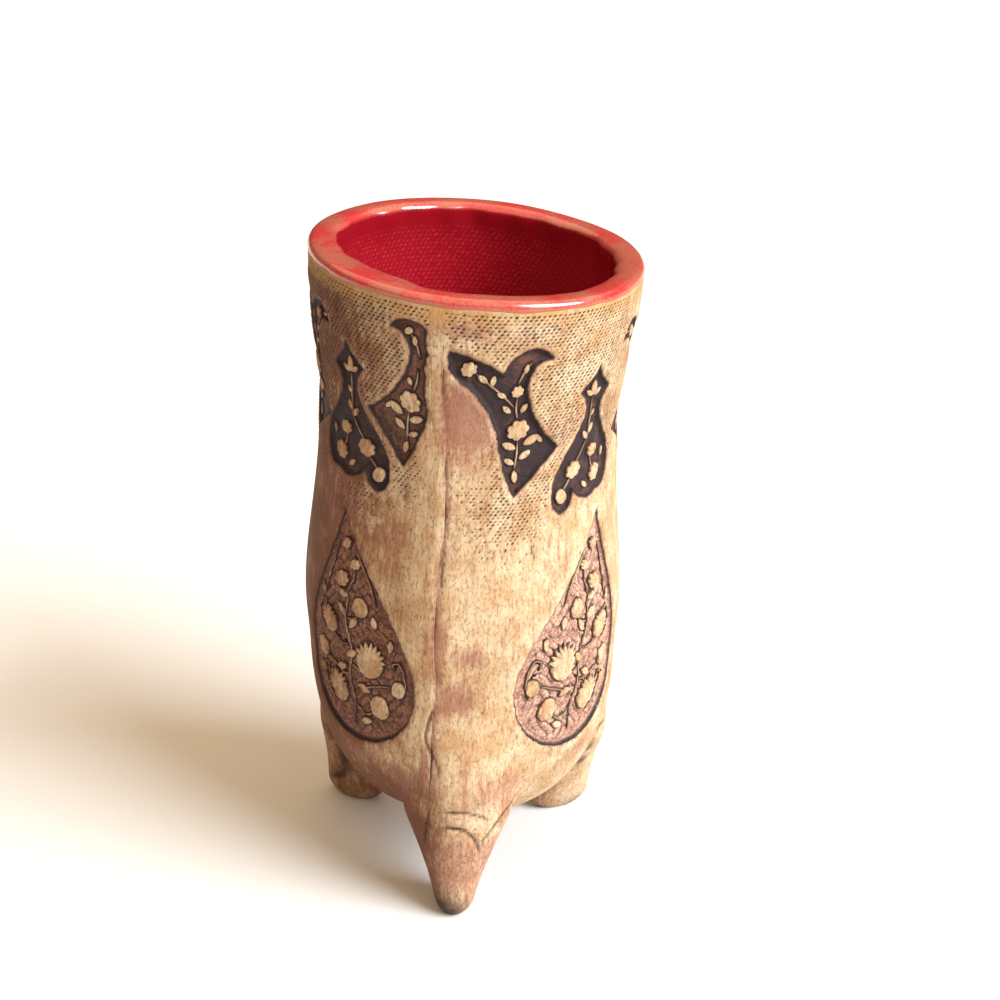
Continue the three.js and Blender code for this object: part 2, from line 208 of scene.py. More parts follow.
def beside_foot(degrees, out, across, z):
    """Points at a distance out along a foot's line, and across it."""
    angle = math.radians(degrees)
    x = out * math.sin(angle) + across * math.cos(angle)
    y = -out * math.cos(angle) + across * math.sin(angle)
    return np.column_stack([x, y, z])


# Mesh handling

def pick(*objects):
    bpy.ops.object.select_all(action="DESELECT")
    for obj in objects:
        obj.select_set(True)
    bpy.context.view_layer.objects.active = objects[0]


@contextmanager
def editing(obj):
    pick(obj)
    bpy.ops.object.mode_set(mode="EDIT")
    bpy.ops.mesh.select_all(action="SELECT")
    yield
    bpy.ops.object.mode_set(mode="OBJECT")


def points_of(obj):
    flat = np.empty(len(obj.data.vertices) * 3)
    obj.data.vertices.foreach_get("co", flat)
    return flat.reshape(-1, 3) / MM


def move_points(obj, points):
    obj.data.vertices.foreach_set("co", (np.asarray(points) * MM).ravel())
    obj.data.update()


def mark(obj, name, values):
    layer = obj.data.attributes.get(name) or obj.data.attributes.new(name, "FLOAT", "POINT")
    layer.data.foreach_set("value", np.asarray(values, dtype=np.float32))


def finish_with(obj, kind, **settings):
    modifier = obj.modifiers.new(kind.title(), kind)
    for name, value in settings.items():
        setattr(modifier, name, value)
    pick(obj)
    bpy.ops.object.modifier_apply(modifier=modifier.name)


def carve(obj, cutter, operation):
    finish_with(obj, "BOOLEAN", object=cutter, operation=operation, solver="MANIFOLD")


def add_sheet(name, columns, rows, shape):
    bpy.ops.object.select_all(action="DESELECT")
    bpy.ops.mesh.primitive_grid_add(x_subdivisions=columns, y_subdivisions=rows, size=MM)
    obj = bpy.context.object
    obj.name = obj.data.name = name
    flat = points_of(obj)
    u, v = np.clip(flat[:, :2].T + 0.5, 0, 1)
    move_points(obj, shape(u, v))
    return obj


def close_up(obj, gap=0.004):
    with editing(obj):
        bpy.ops.mesh.remove_doubles(threshold=gap * MM)
        bpy.ops.mesh.fill_holes(sides=0)
        bpy.ops.mesh.select_all(action="SELECT")
        bpy.ops.mesh.normals_make_consistent(inside=False)


def join(objects, name):
    pick(*objects)
    bpy.ops.object.join()
    obj = bpy.context.object
    obj.name = obj.data.name = name
    return obj


def copy_of(obj, name):
    twin = obj.copy()
    twin.data = obj.data.copy()
    bpy.context.collection.objects.link(twin)
    twin.name = twin.data.name = name
    return twin


def discard(*objects):
    for obj in objects:
        bpy.data.objects.remove(obj)


def smooth(obj, degrees=40):
    pick(obj)
    bpy.ops.object.shade_smooth_by_angle(angle=math.radians(degrees))


def keep_sharp(obj, height):
    """Hard edges round a flat face at a height."""
    level = np.abs(points_of(obj)[:, 2] - height) < 0.01
    ends = np.empty(len(obj.data.edges) * 2, dtype=int)
    obj.data.edges.foreach_get("vertices", ends)
    sharp = np.empty(len(obj.data.edges), dtype=bool)
    obj.data.edges.foreach_get("use_edge_sharp", sharp)
    obj.data.edges.foreach_set("use_edge_sharp", sharp | level[ends.reshape(-1, 2)].all(1))


# Feet and bowl, pressed together and smoothed by thumb

def horn(name):
    degrees, reach, tuck, toe_depth, toe_half = FEET[name]
    knee = float(body_radius(np.array(JOINT))) + reach
    top = JOINT + HORN_OVERLAP

    def shape(u, v):
        z = np.where(v < 0.25, TOE_HEIGHT * (v / 0.25) ** 2, lerp(TOE_HEIGHT, top, (v - 0.25) / 0.75))
        climb = np.clip((z - TOE_HEIGHT) / (JOINT - TOE_HEIGHT), 0, 1.1)
        roundness = np.sin(np.pi / 2 * np.minimum(1, z / TOE_HEIGHT))
        size = lerp(PAD_SHARE, 1, roundness)
        depth = lerp(toe_depth, reach, climb)
        half = lerp(toe_half, KNEE_HALF, np.minimum(1, climb) ** 1.1) + 0.6 * climb**3
        out = knee - tuck * (1 - climb) - depth + size * depth * np.sin(2 * np.pi * u)
        across = size * half * np.cos(2 * np.pi * u)
        return beside_foot(degrees, out, across, z)

    obj = add_sheet(name + "_horn", 48, 24, shape)
    close_up(obj)
    return obj


def lower_form():
    def shape(u, v):
        degrees = 360 * u
        z = lerp(FLOOR_HEIGHT, FORM_TOP, v**1.6)
        return at(degrees, body_radius(z) + keel(degrees, z) - lean(degrees, z), z)

    bowl = add_sheet("bowl", 240, 120, shape)
    close_up(bowl)
    form = join([bowl] + [horn(name) for name in FEET], "form")
    finish_with(form, "REMESH", mode="VOXEL", voxel_size=VOXEL * MM)
    sharp = points_of(form)
    finish_with(form, "SMOOTH", factor=0.5, iterations=SOFT_PASSES)
    soft = points_of(form)
    points = lerp(sharp, soft, fade(4, 14, sharp[:, 2])[:, None])
    points[:, 2] = np.where(points[:, 2] < 0.3, 0, points[:, 2])
    move_points(form, points)
    return form


form = lower_form()
FORM_TREE = BVHTree.FromObject(form, bpy.context.evaluated_depsgraph_get())


def form_reach(degrees, z):
    reach = np.empty(len(z))
    for i, (angle, height) in enumerate(zip(np.radians(degrees), z)):
        way = Vector((math.sin(angle), -math.cos(angle), 0))
        reach[i] = FORM_TREE.ray_cast(Vector((0, 0, height * MM)), way)[3] / MM
    return reach


def sway(degrees, z):
    angle = np.radians(degrees)
    slow = np.sin(3 * angle + z / 19) + 0.7 * np.sin(5 * angle - z / 11 + 1)
    slow = slow + 0.5 * np.sin(8 * angle + z / 7)
    pressed = 1.2 * hump(turn(degrees + 30), 11) - 0.4 * hump(turn(degrees - SEAM_ANGLE), 6)
    pressed *= fade(45, 70, z) * (1 - fade(135, 160, z))
    return pressed + 0.12 * (2.2 + slow) * fade(34, 60, z) * (1 - fade(160, 174, z))


def outside(degrees, z):
    reach = body_radius(z) + keel(degrees, z) - lean(degrees, z)
    low = z < FORM_BLEND[1]
    if low.any():
        reach[low] = lerp(form_reach(degrees[low], z[low]), reach[low], fade(*FORM_BLEND, z[low]))
    return reach - sway(degrees, z)


# Marks of the maker's hands, and painted shade on the left flank

# Rubbed patches, and broad patches on the left flank and the rear left foot that paint the shade away
# from the window light: angle, height, reach round and up, strength
BLUSHES_AND_SHADE = [
    (-2, 172, 9, 5, 0.8), (-0.5, 147, 9, 14, 1.2), (-58, 117, 14, 10, 1.2), (89, 150, 10, 26, 0.45),
    (-8, 86, 4, 10, 0.9), (3, 81.5, 7, 4, 0.8), (-1.5, 68.5, 7, 6, 1.0), (-23, 39, 7, 9, 1.0),
    (19, 38, 8, 9, 0.8), (-90, 70, 20, 40, 0.9), (-86, 140, 18, 40, 0.8), (-118, 20, 34, 25, 0.5),
    (150, 60, 20, 20, 0.8), (205, 120, 16, 30, 0.7), (0, 16, 14, 14, 0.9), (-40, 154, 6, 8, 0.7),
    (-30, 60, 10, 20, 0.6), (-26, 110, 8, 16, 0.5), (70, 60, 12, 12, 0.5), (-12, 45, 3, 14, 0.8),
    (-24, 20, 8, 12, 1.0), (14, 20, 6, 9, 0.8), (-5, 163, 5, 6, 0.9), (-52, 42, 16, 6, 0.8),
    (48, 44, 12, 5, 0.6),
]
# Dark smudges, likewise
SMUDGES = [
    (96, 25, 2.4, 3.2, 0.9), (100, 20, 1.8, 2.6, 0.8), (-4, 2, 8, 6, 1.0), (-122, 3, 12, 5, 0.6),
    (118, 2, 12, 4, 0.5), (-95, 30, 4, 6, 0.5),
]
# Creases: depth, half width and path of angles and heights
CREASES = [
    (0.45, 0.6, [(-3.4, 35), (2.1, 35.3), (7.8, 33.7), (10.8, 31.9)]),
    (0.6, 0.6, [(-3.7, 30.4), (2.3, 29.5), (6.5, 26.2), (8.6, 21.7)]),
    (0.6, 0.6, [(25.6, 33.2), (17.5, 32), (12.4, 27.5), (9.5, 24.9)]),
    (0.4, 0.5, [(-9.7, 34.2), (-11.4, 24.3)]),
    (0.5, 0.5, [(-9.7, 64.7), (-11.8, 56.1), (-7.2, 49.2), (-6.6, 45.8)]),
    (0.5, 0.5, [(-8.2, 110), (-7.9, 106), (-7.6, 101)]),
    (0.8, 0.8, [(-91, 42), (-92.8, 33), (-98.4, 24), (-103.9, 15), (-108, 9), (-113, 5)]),
    (0.6, 0.6, [(104.9, 33.8), (99, 33.4), (95.4, 31), (95.5, 27.2)]),
    (0.35, 0.4, [(-50.5, 174), (-51.5, 169)]),
    (0.3, 0.4, [(-23.9, 127), (-22.6, 125), (-23.4, 123)]),
    (0.3, 0.4, [(24.2, 114), (25, 110), (26.1, 107)]),
]


def smooth_path(corners, count):
    """Points on a curve through corners."""
    p = np.array(corners, dtype=float)
    p = np.vstack([2 * p[0] - p[1], p, 2 * p[-1] - p[-2]])
    place = np.linspace(0, len(corners) - 1, count)
    i = np.minimum(place.astype(int), len(corners) - 2)
    t = (place - i)[:, None]
    a, b, c, d = p[i], p[i + 1], p[i + 2], p[i + 3]
    square = (2 * a - 5 * b + 4 * c - d) * t**2
    cube = (3 * b - a - 3 * c + d) * t**3
    return 0.5 * (2 * b + (c - a) * t + square + cube)


def path_distance(degrees, z, path):
    """Distance over the surface from a path of angles and heights."""
    best = np.full(len(z), 99.0)
    for (a, low), (b, high) in zip(path, path[1:]):
        x = np.radians(turn(degrees - a)) * BODY_RADIUS
        y = z - low
        dx, dy = math.radians(b - a) * BODY_RADIUS, high - low
        t = np.clip((x * dx + y * dy) / (dx * dx + dy * dy), 0, 1)
        best = np.minimum(best, np.hypot(x - t * dx, y - t * dy))
    return best


def patches(spots, degrees, z):
    total = np.zeros(len(z))
    for angle, height, wide, high, strength in spots:
        x = np.radians(turn(degrees - angle)) * BODY_RADIUS
        total = np.maximum(total, strength * hump(x, wide) * hump(z - height, high))
    return total


def left_shade_and_stain(degrees, z):
    """How far the brown tint covers the left flank and that side of the front foot: stain, and painted
    shade on the side away from the window light.
    """
    place = turn(degrees)
    foot = (1 - fade(-14, 4, place)) * fade(-120, -70, place) * (1 - fade(28, 58, z))
    return np.maximum(hump(turn(degrees + 70), 44), foot)


def hand_marks(degrees, z):
    """Depth of the creases, how dark their stain and the smudges are, and how rosy the rubbed stain is,
    with the broad rosy patches on the left flank painting shade.
    """
    depth = np.zeros(len(z))
    stain = patches(SMUDGES, degrees, z)
    for deep, half, path in CREASES:
        line = hump(path_distance(degrees, z, smooth_path(path, 4 * len(path))), half)
        depth = np.maximum(depth, deep * line)
        stain = np.maximum(stain, 0.75 * line)
    return depth, stain, patches(BLUSHES_AND_SHADE, degrees, z)


# Panels pressed into the wall

def bezier(a, b, c, d):
    t = np.linspace(0, 1, OUTLINE_STEPS, endpoint=False)[:, None]
    a, b, c, d = (np.array(p, dtype=float) for p in (a, b, c, d))
    return (1 - t) ** 3 * a + 3 * (1 - t) ** 2 * t * b + 3 * (1 - t) * t**2 * c + t**3 * d


# Corners and handles of each outline, in halves of its width and height
TULIP_HALF = [
    (0, -1), (0.3, -0.85), (0.68, -0.62), (1, -0.46), (0.72, -0.28), (0.42, 0.05), (0.4, 0.42),
    (0.4, 0.66), (0.62, 0.84), (0.92, 0.8), (0.78, 1.06), (0.2, 1.06), (0, 0.7),
]
TULIP_WORN = [
    (-0.2, 0.85), (-0.55, 1), (-0.95, 1.1), (-1.08, 1), (-0.95, 0.78), (-0.75, 0.64),
    (-0.45, 0.45), (-0.26, 0.1), (-0.22, -0.15), (-0.2, -0.45), (-0.14, -0.8), (0, -1),
]
BUD_ROUND = [
    (0.05, 1), (-0.05, 0.88), (-0.25, 0.78), (-0.45, 0.68), (-0.3, 0.6), (-0.2, 0.52), (-0.2, 0.42),
    (-0.25, 0.05), (-0.75, -0.1), (-1, -0.55), (-1.1, -0.85), (-0.85, -1.05), (-0.7, -1),
    (-0.5, -0.95), (-0.42, -0.85), (-0.4, -0.7), (-0.2, -0.92), (0.2, -0.95), (0.45, -0.85),
    (0.8, -0.9), (1.05, -0.75), (1, -0.5), (0.9, -0.1), (0.3, 0.05), (0.25, 0.42),
    (0.25, 0.5), (0.35, 0.58), (0.5, 0.64), (0.3, 0.75), (0.12, 0.85), (0.05, 1),
]
DROP_HALF = [(0, -1), (0.55, -1), (1, -0.75), (1, -0.4), (1, 0), (0.4, 0.4), (0, 1)]
HALF_SIZES = {"tulip": (13.5, 20), "bud": (11.5, 19.5), "drop": (20.5, 33.75)}


def mirrored(half):
    return half + [(-x, y) for x, y in half[-2::-1]]


def turned(points, side, tilt):
    x, y = np.asarray(points, dtype=float).T * ((side,), (1,))
    angle = math.radians(tilt)
    across = x * math.cos(angle) - y * math.sin(angle)
    up = x * math.sin(angle) + y * math.cos(angle)
    return np.column_stack([across, up])


def clip(points, edge, side):
    """The part of an outline on one side of an upright line."""
    kept = []
    for point, after in zip(points, np.roll(points, -1, axis=0)):
        here, there = side * (point[0] - edge), side * (after[0] - edge)
        if here >= 0:
            kept.append(point)
        if here * there < 0:
            kept.append(lerp(point, after, here / (here - there)))
    return np.array(kept)


def panel_outline(kind, degrees, radius, side, tilt, worn):
    tulip = TULIP_HALF + TULIP_WORN if worn else mirrored(TULIP_HALF)
    corners = {"tulip": tulip, "bud": BUD_ROUND, "drop": mirrored(DROP_HALF)}[kind]
    corners = np.array(corners) * HALF_SIZES[kind]
    curve = np.vstack([bezier(*corners[i : i + 4]) for i in range(0, len(corners) - 1, 3)])
    curve = turned(curve, side, tilt)[::side]
    if worn:
        before = math.radians(degrees - SEAM_ANGLE) * radius
        near, far = SEAM_MARGIN - before, 2 * math.pi * radius - before - SEAM_MARGIN
        curve = clip(clip(curve, near, 1), far, -1)
    dense = []
    for point, after in zip(curve, np.roll(curve, -1, axis=0)):
        count = max(1, math.ceil(np.linalg.norm(after - point) / OUTLINE_PITCH))
        dense += [lerp(point, after, i / count) for i in range(count)]
    dense = np.array(dense)
    way = np.roll(dense, -1, axis=0) - np.roll(dense, 1, axis=0)
    along = np.cumsum(np.linalg.norm(way, axis=1)) / 2
    shaky = 0.08 * np.sin(2.1 * along) + 0.05 * np.sin(4.7 * along + 1) + 0.1 * np.sin(0.9 * along + 2)
    sideways = (way / np.linalg.norm(way, axis=1)[:, None])[:, ::-1]
    dense += shaky[:, None] * sideways * (1, -1)
    if worn:
        up = dense[:, 1]
        ragged = 0.8 + 0.35 * np.sin(0.31 * up) + 0.2 * np.sin(0.83 * up + 1)
        ragged = ragged + 0.12 * np.sin(2.3 * up)
        dense[:, 0] += ragged * (hump(dense[:, 0] - near, 0.3) - hump(dense[:, 0] - far, 0.3))
    return dense


def edge_distance(points, outline):
    """Distance to an outline, negative inside it, and the nearest place on it."""
    start = outline
    step = np.roll(outline, -1, axis=0) - start
    offset = points[:, None, :] - start[None]
    along = np.clip((offset * step).sum(2) / (step * step).sum(1), 0, 1)
    near = start + along[..., None] * step
    gap = ((points[:, None, :] - near) ** 2).sum(2)
    best = gap.argmin(1)
    rows = np.arange(len(points))
    rising = (start[:, 1] > points[:, 1, None]) != ((start + step)[:, 1] > points[:, 1, None])
    with np.errstate(divide="ignore", invalid="ignore"):
        cross = start[:, 0] + (points[:, 1, None] - start[:, 1]) / step[:, 1] * step[:, 0]
    inside = (rising & (points[:, 0, None] < cross)).sum(1) % 2 == 1
    distance = np.sqrt(gap[rows, best])
    return np.where(inside, -distance, distance), near[rows, best]


class Panel:
    def __init__(self, name, kind, degrees, height, side, tilt=0, worn=False):
        self.name = name
        self.kind = kind
        self.degrees = degrees
        self.height = height
        self.side = side
        self.tilt = tilt
        self.worn = worn
        self.radius = float(body_radius(np.array(height)))
        self.outline = panel_outline(kind, degrees, self.radius, side, tilt, worn)

    def flat(self, degrees, z):
        across = np.radians(turn(degrees - self.degrees)) * self.radius
        return np.column_stack([across, z - self.height])

    def polar(self, flat):
        return self.degrees + np.degrees(flat[:, 0] / self.radius), self.height + flat[:, 1]

    def near(self, degrees, z):
        flat = self.flat(degrees, z)
        return ((flat > self.outline.min(0) - 5) & (flat < self.outline.max(0) + 5)).all(1)

    def floor(self, flat, distance):
        """Height of the sunk ground under the wall's surface."""
        depth = -distance
        x, y = flat.T
        if self.kind == "drop":
            ground = -0.25 - 1.05 * fade(0, 0.7, depth) + 0.35 * fade(0.9, 2.4, depth)
            return ground - 0.3 * self.tracery(flat) * fade(1.2, 2.4, depth)
        wrinkle = np.sin(1.3 * x + 1.5 * np.sin(0.7 * y)) * np.sin(1.1 * y + 0.8 * x)
        sunk = (0.25 - PANEL_FLOOR) * fade(0, 0.75, depth)
        return -0.25 + sunk + 0.06 * wrinkle * fade(0.6, 1.5, depth)

    def tracery(self, flat):
        """Fine curling lines drawn into the ground of a teardrop."""
        x, y = flat.T
        upright = np.sin(1.15 * x + 2.4 * np.sin(0.5 * y))
        level = np.sin(0.95 * y + 1.9 * np.sin(0.55 * x + 1))
        return 1 - fade(0.12, 0.42, np.abs(upright * level))

    def roll(self, flat, height):
        degrees, z = self.polar(flat)
        return at(degrees, outside(degrees, z) + height, z)


def lay_out_panels():
    panels = []
    last = ROW_COUNT - 1
    for i in range(ROW_COUNT):
        along = i / last
        degrees = SEAM_ANGLE + ROW_START + ROW_SPAN * along * (1 + 0.1 * (1 - along))
        climb = ROW_CLIMB * (along - 0.5)
        side = 1 if along < 0.5 else -1
        number = i // 2 + 1
        if i % 2 == 0:
            name = f"tulip_inlay_{number}"
            tilt = side * (16 if i == last else 7)
            beside_seam = i in (0, last)
            panels.append(Panel(name, "tulip", degrees, TULIP_HEIGHT + climb, side, tilt, beside_seam))
        else:
            panels.append(Panel(f"bud_inlay_{number}", "bud", degrees, BUD_HEIGHT + climb, side))
    for place, degrees, side, tilt in DROPS:
        panels.append(Panel(f"drop_inlay_{place}", "drop", degrees, DROP_HEIGHT, side, tilt))
    return panels


PANELS = lay_out_panels()


# Wall and seam

def seam_wave(z):
    return 0.45 * np.sin(z / 9) + 0.3 * np.sin(z / 3.7 + 1) + 0.5 * np.sin(z / 23 + 2)


def squared(x):
    """Sine or cosine of a rim that is flatter than a half circle."""
    return np.sign(x) * np.abs(x) ** 0.62


def section_rows(degrees, row):
    """Height, and how far over the rim and down the inside, for the rows of a slab."""
    top = rim_height(degrees) - CAP
    low = lerp(JOINT, LINEN_START, row / LOW_ROWS)
    linen = lerp(LINEN_START, top, (row - LOW_ROWS) / LINEN_ROWS)
    over = np.clip((row - LOW_ROWS - LINEN_ROWS) / RIM_ROWS, 0, 1)
    inside = np.clip((row - LOW_ROWS - LINEN_ROWS - RIM_ROWS) / (BACK_ROWS - 1), 0, 1)
    z = np.where(row <= LOW_ROWS, low, np.minimum(linen, top))
    z = z + CAP * squared(np.sin(np.pi * over))
    return np.where(inside > 0, lerp(top, JOINT, 1 - (1 - inside) ** 2), z), over, inside


def slab_points(degrees, row, outer):
    z, over, inside = section_rows(degrees, row)
    middle = outer - WALL / 2
    reach = np.where(over > 0, middle + WALL / 2 * squared(np.cos(np.pi * over)), outer)
    back = cavity_radius(z, 0) - lean(degrees, z)
    return np.where(inside > 0, back, reach), z


def blank_slab(name, columns, spread):
    """A slab between two angles, with its angle, row and height at each point."""
    rows = LOW_ROWS + LINEN_ROWS + RIM_ROWS + BACK_ROWS
    obj = add_sheet(name, columns, rows, lambda u, v: np.column_stack([u, v, 0 * u]))
    grid = points_of(obj)
    column = np.rint(grid[:, 0] * columns)
    row = np.rint(grid[:, 1] * rows)
    row[row == rows] = 0
    degrees = spread(column / columns)
    z, over, inside = section_rows(degrees, row)
    return obj, column, row, degrees, z, (over == 0) & (inside == 0)


def linen_mask(degrees, z):
    """Where the cloth print shows: not low down, near the seam or where a thumb has smoothed it."""
    from_seam = turn(degrees - SEAM_ANGLE)
    wander = 4 * np.sin(np.radians(degrees) * 2.6 + 0.6) + 3 * np.sin(np.radians(degrees) * 7)
    mask = fade(108, 136, z + wander + 8 * hump(from_seam - 26, 18))
    mask *= fade(lerp(2, 0.5, fade(150, 168, z)), lerp(8, 3, fade(150, 168, z)), np.abs(from_seam))
    thumb = hump((from_seam - 10) / 9, 1.0) * hump((z - 145) / 17, 1.0)
    return mask * (1 - np.clip(1.5 * thumb, 0, 1))


def press_panels(degrees, bent, z, front):
    """Sinks the panels and moves the points nearest to an edge onto it.

    Gives the height, stain and wear, and where no cloth prints."""
    height = np.zeros(len(z))
    stain = np.zeros(len(z))
    worn = np.zeros(len(z))
    guard = np.zeros(len(z))
    for panel in PANELS:
        chosen = np.flatnonzero(panel.near(bent, z) & front)
        flat = panel.flat(bent[chosen], z[chosen])
        distance, edge = edge_distance(flat, panel.outline)
        snap = np.abs(distance) < np.where(z[chosen] < LINEN_START, 0.42, 0.32)
        flat[snap] = edge[snap]
        distance[snap] = 0
        bent[chosen], z[chosen] = panel.polar(flat)
        bent[chosen] = degrees[chosen] + turn(bent[chosen] - degrees[chosen])
        outer = np.maximum(distance, 0)
        lip = -0.3 * hump(outer, 0.6) + 0.16 * hump(outer - 1.5, 0.9)
        height[chosen] += np.where(distance < 0, -PANEL_CUT, lip)
        rim_stain = (0.6 if panel.kind == "drop" else 0.9) * hump(outer, 0.45)
        stain[chosen] = np.maximum(stain[chosen], np.where(distance < 0, 1, rim_stain))
        guard[chosen] -= 2 * hump(outer, 0.8)
        worn[chosen] = np.maximum(worn[chosen], 0.45 * hump(outer, 2.2))
    return height, stain, worn, guard


def press_linen(row, column, bent, z, front, guard):
    """How deep each point lies in the cloth print, from 0 to 1."""
    weave = (row % 2 == 0) & ((column + row // 2) % 2 == 0) & (row > 40) & (row < LOW_ROWS + LINEN_ROWS)
    mask = linen_mask(bent, z)
    printed = rng.random(len(z)) < mask**0.8
    press = rng.uniform(0.5, 1.0, len(z)) * lerp(0.35, 1, mask)
    marks = np.zeros((int(row.max()) + 3, COLUMNS + 1))
    spot = row.astype(int) + 1, column.astype(int)
    marks[spot] = np.where(weave & printed, press, 0)
    marks[1:-1] = np.maximum(marks[1:-1], PIT_TAIL * np.maximum(marks[:-2], marks[2:]))
    return np.clip(np.where(front, marks[spot], 0) + guard, 0, 1)


def finish_slab(obj, bent, z, z_all):
    # Brown tint on the left flank: stain and painted shade on the side away from the window light.
    mark(obj, "tan", left_shade_and_stain(bent, z))
    mark(obj, "halo", fade(-9, -4, z_all - rim_height(bent)))
    close_up(obj)
    smooth(obj, 65)
    keep_sharp(obj, JOINT)
    return obj


def build_wall():
    start = SEAM_ANGLE + SEAM_HALF
    obj, column, row, degrees, z, front = blank_slab(
        "clay_wall", COLUMNS, lambda u: start + u * (360 - 2 * SEAM_HALF)
    )
    mm = np.radians(degrees - start) * WAIST_RADIUS
    far = np.radians(360 - 2 * SEAM_HALF) * WAIST_RADIUS - mm
    bent = degrees + np.degrees(seam_wave(z) / WAIST_RADIUS) * (hump(mm, 6) + hump(far, 6))

    height, stain, worn, guard = press_panels(degrees, bent, z, front)
    pit = press_linen(row, column, bent, z, front, guard)
    height -= PIT_DEPTH * pit
    bent = bent + (pit > 0) * rng.normal(0, 0.13, len(z))
    z = z + (pit > 0) * rng.normal(0, 0.06, len(z))

    depth, strokes, blush_and_shade = hand_marks(bent, z)
    blush_and_shade = np.maximum(blush_and_shade, worn)
    height -= depth * front
    stain = np.maximum(stain, strokes * front)

    open_seam = fade(31, 45, z) * (1 - fade(PINCH_HEIGHT - 4, PINCH_HEIGHT + 4, z)) * front
    swell = 0.2 * hump(mm - 3.5, 2.4) + 0.15 * hump(far - 4, 2.5)
    height += open_seam * (swell - 0.45 * hump(mm, 0.6) * (0.7 + 0.3 * np.sin(z / 6)))
    line = hump(mm, 0.45) * np.clip(0.35 + 0.4 * np.sin(z / 6.5 + 1) + 0.2 * np.sin(z / 2.3), 0, 0.8)
    stain = np.maximum(stain, open_seam * line)
    pinch = hump(mm, 2.2) * hump(z - PINCH_HEIGHT, 2.6) * front
    height -= 0.5 * pinch
    blush_and_shade = np.maximum(blush_and_shade, np.maximum(0.8 * pinch, 0.75 * open_seam * hump(mm - 0.6, 1.6)))

    outer = outside(bent, z) + height
    reach, z_all = slab_points(bent, row, outer)
    move_points(obj, at(bent, reach, np.where(front, z, z_all)))
    mark(obj, "pit", pit)
    mark(obj, "stain", np.clip(stain, 0, 1))
    mark(obj, "blush_and_shade", blush_and_shade * front)
    return finish_slab(obj, bent, z, z_all)


def build_seam():
    start = SEAM_ANGLE - SEAM_HALF
    obj, _, row, degrees, z, front = blank_slab("clay_seam", 8, lambda u: start + u * 2 * SEAM_HALF)
    mm = np.radians(degrees - start) * WAIST_RADIUS
    bent = degrees + np.degrees(seam_wave(z) / WAIST_RADIUS)
    depth, marks, blush_and_shade = hand_marks(bent, z)
    bulge = 0.2 * np.sin(np.pi * mm / 3) * (0.7 + 0.3 * np.sin(z / 8))
    bulge *= fade(31, 45, z) * (1 - fade(PINCH_HEIGHT - 8, PINCH_HEIGHT + 2, z))
    reach, z_all = slab_points(bent, row, outside(bent, z) + (bulge - depth) * front)
    move_points(obj, at(bent, reach, z_all))
    mark(obj, "stain", marks * front)
    mark(obj, "blush_and_shade", np.maximum(blush_and_shade, 0.6 * hump(mm - 3, 0.8)) * front)
    return finish_slab(obj, bent, z, z_all)


# Feet and floor, cut from the lower form at the joint

def press_marks(obj):
    p = points_of(obj)
    degrees = np.degrees(np.arctan2(p[:, 0], -p[:, 1]))
    normals = np.array([v.normal[:] for v in obj.data.vertices])
    outward = fade(-0.7, 0.3, (normals * at(degrees, 1, 0 * degrees)).sum(1))
    depth, stain, blush_and_shade = hand_marks(degrees, p[:, 2])
    move_points(obj, p - normals * (depth * outward)[:, None])
    # Faces turned in or down, under the feet and the bowl, get dark and rosy tints as painted shade.
    mark(obj, "stain", stain * outward)
    mark(obj, "blush_and_shade", np.maximum(blush_and_shade, 0.7 * (1 - outward)))
    mark(obj, "tan", np.maximum(left_shade_and_stain(degrees, p[:, 2]), 0.6 * (1 - outward)))


def foot_block(degrees):
    """A block round one foot, out from near the axis."""
    bpy.ops.object.select_all(action="DESELECT")
    bpy.ops.mesh.primitive_cube_add(size=MM)
    obj = bpy.context.object
    corner = points_of(obj)
    across = corner[:, 0] * 2 * 20
    out = lerp(4, 62, corner[:, 1] + 0.5)
    z = lerp(-1, JOINT + 1, corner[:, 2] + 0.5)
    move_points(obj, beside_foot(degrees, out, across, z))
    with editing(obj):
        bpy.ops.mesh.normals_make_consistent(inside=False)
    return obj


def core_shape(u, v):
    z = lerp(-2, JOINT + 2, v)
    reach = np.maximum(8, body_radius(np.maximum(z, 20.5)) - 2)
    return at(360 * u, reach * np.where(z < 18, 0.2, 1), z)


def cavity_shape(u, v):
    z = lerp(FLOOR_TOP, JOINT + 1, v**2)
    return at(360 * u, cavity_radius(z, 0), z)


def build_feet_and_floor():
    lower = copy_of(form, "lower")
    with editing(lower):
        bpy.ops.mesh.bisect(
            plane_co=(0, 0, JOINT * MM), plane_no=(0, 0, 1), use_fill=True, clear_outer=True
        )
    core = add_sheet("core", 64, 24, core_shape)
    close_up(core)
    feet = []
    collars = []
    for name, (degrees, *_) in FEET.items():
        collar = foot_block(degrees)
        carve(collar, core, "DIFFERENCE")
        foot = copy_of(lower, "clay_" + name)
        carve(foot, collar, "INTERSECT")
        press_marks(foot)
        smooth(foot, 50)
        feet.append(foot)
        collars.append(collar)

    cavity = add_sheet("cavity", 64, 8, cavity_shape)
    close_up(cavity)
    floor = copy_of(lower, "clay_floor")
    for collar in collars:
        carve(floor, collar, "DIFFERENCE")
    carve(floor, cavity, "DIFFERENCE")
    press_marks(floor)
    smooth(floor, 50)
    discard(lower, core, cavity, *collars)
    return feet, floor


# Red glaze inside and over the rim

def glaze_lump(degrees):
    """How far the glaze stands in from the rim, in runs and in the fold at the front left."""
    angle = np.radians(degrees)
    place = turn(degrees)
    fold = 3.2 * np.clip((place + 92) / 56, 0, 1) ** 1.2 * (1 - fade(-34, -15, place))
    runs = 0.3 * np.sin(5 * angle) + 0.35 * np.sin(13 * angle + 1) + 0.3 * np.sin(23 * angle)
    return np.maximum(0, fold + 0.45 + 0.6 * runs)


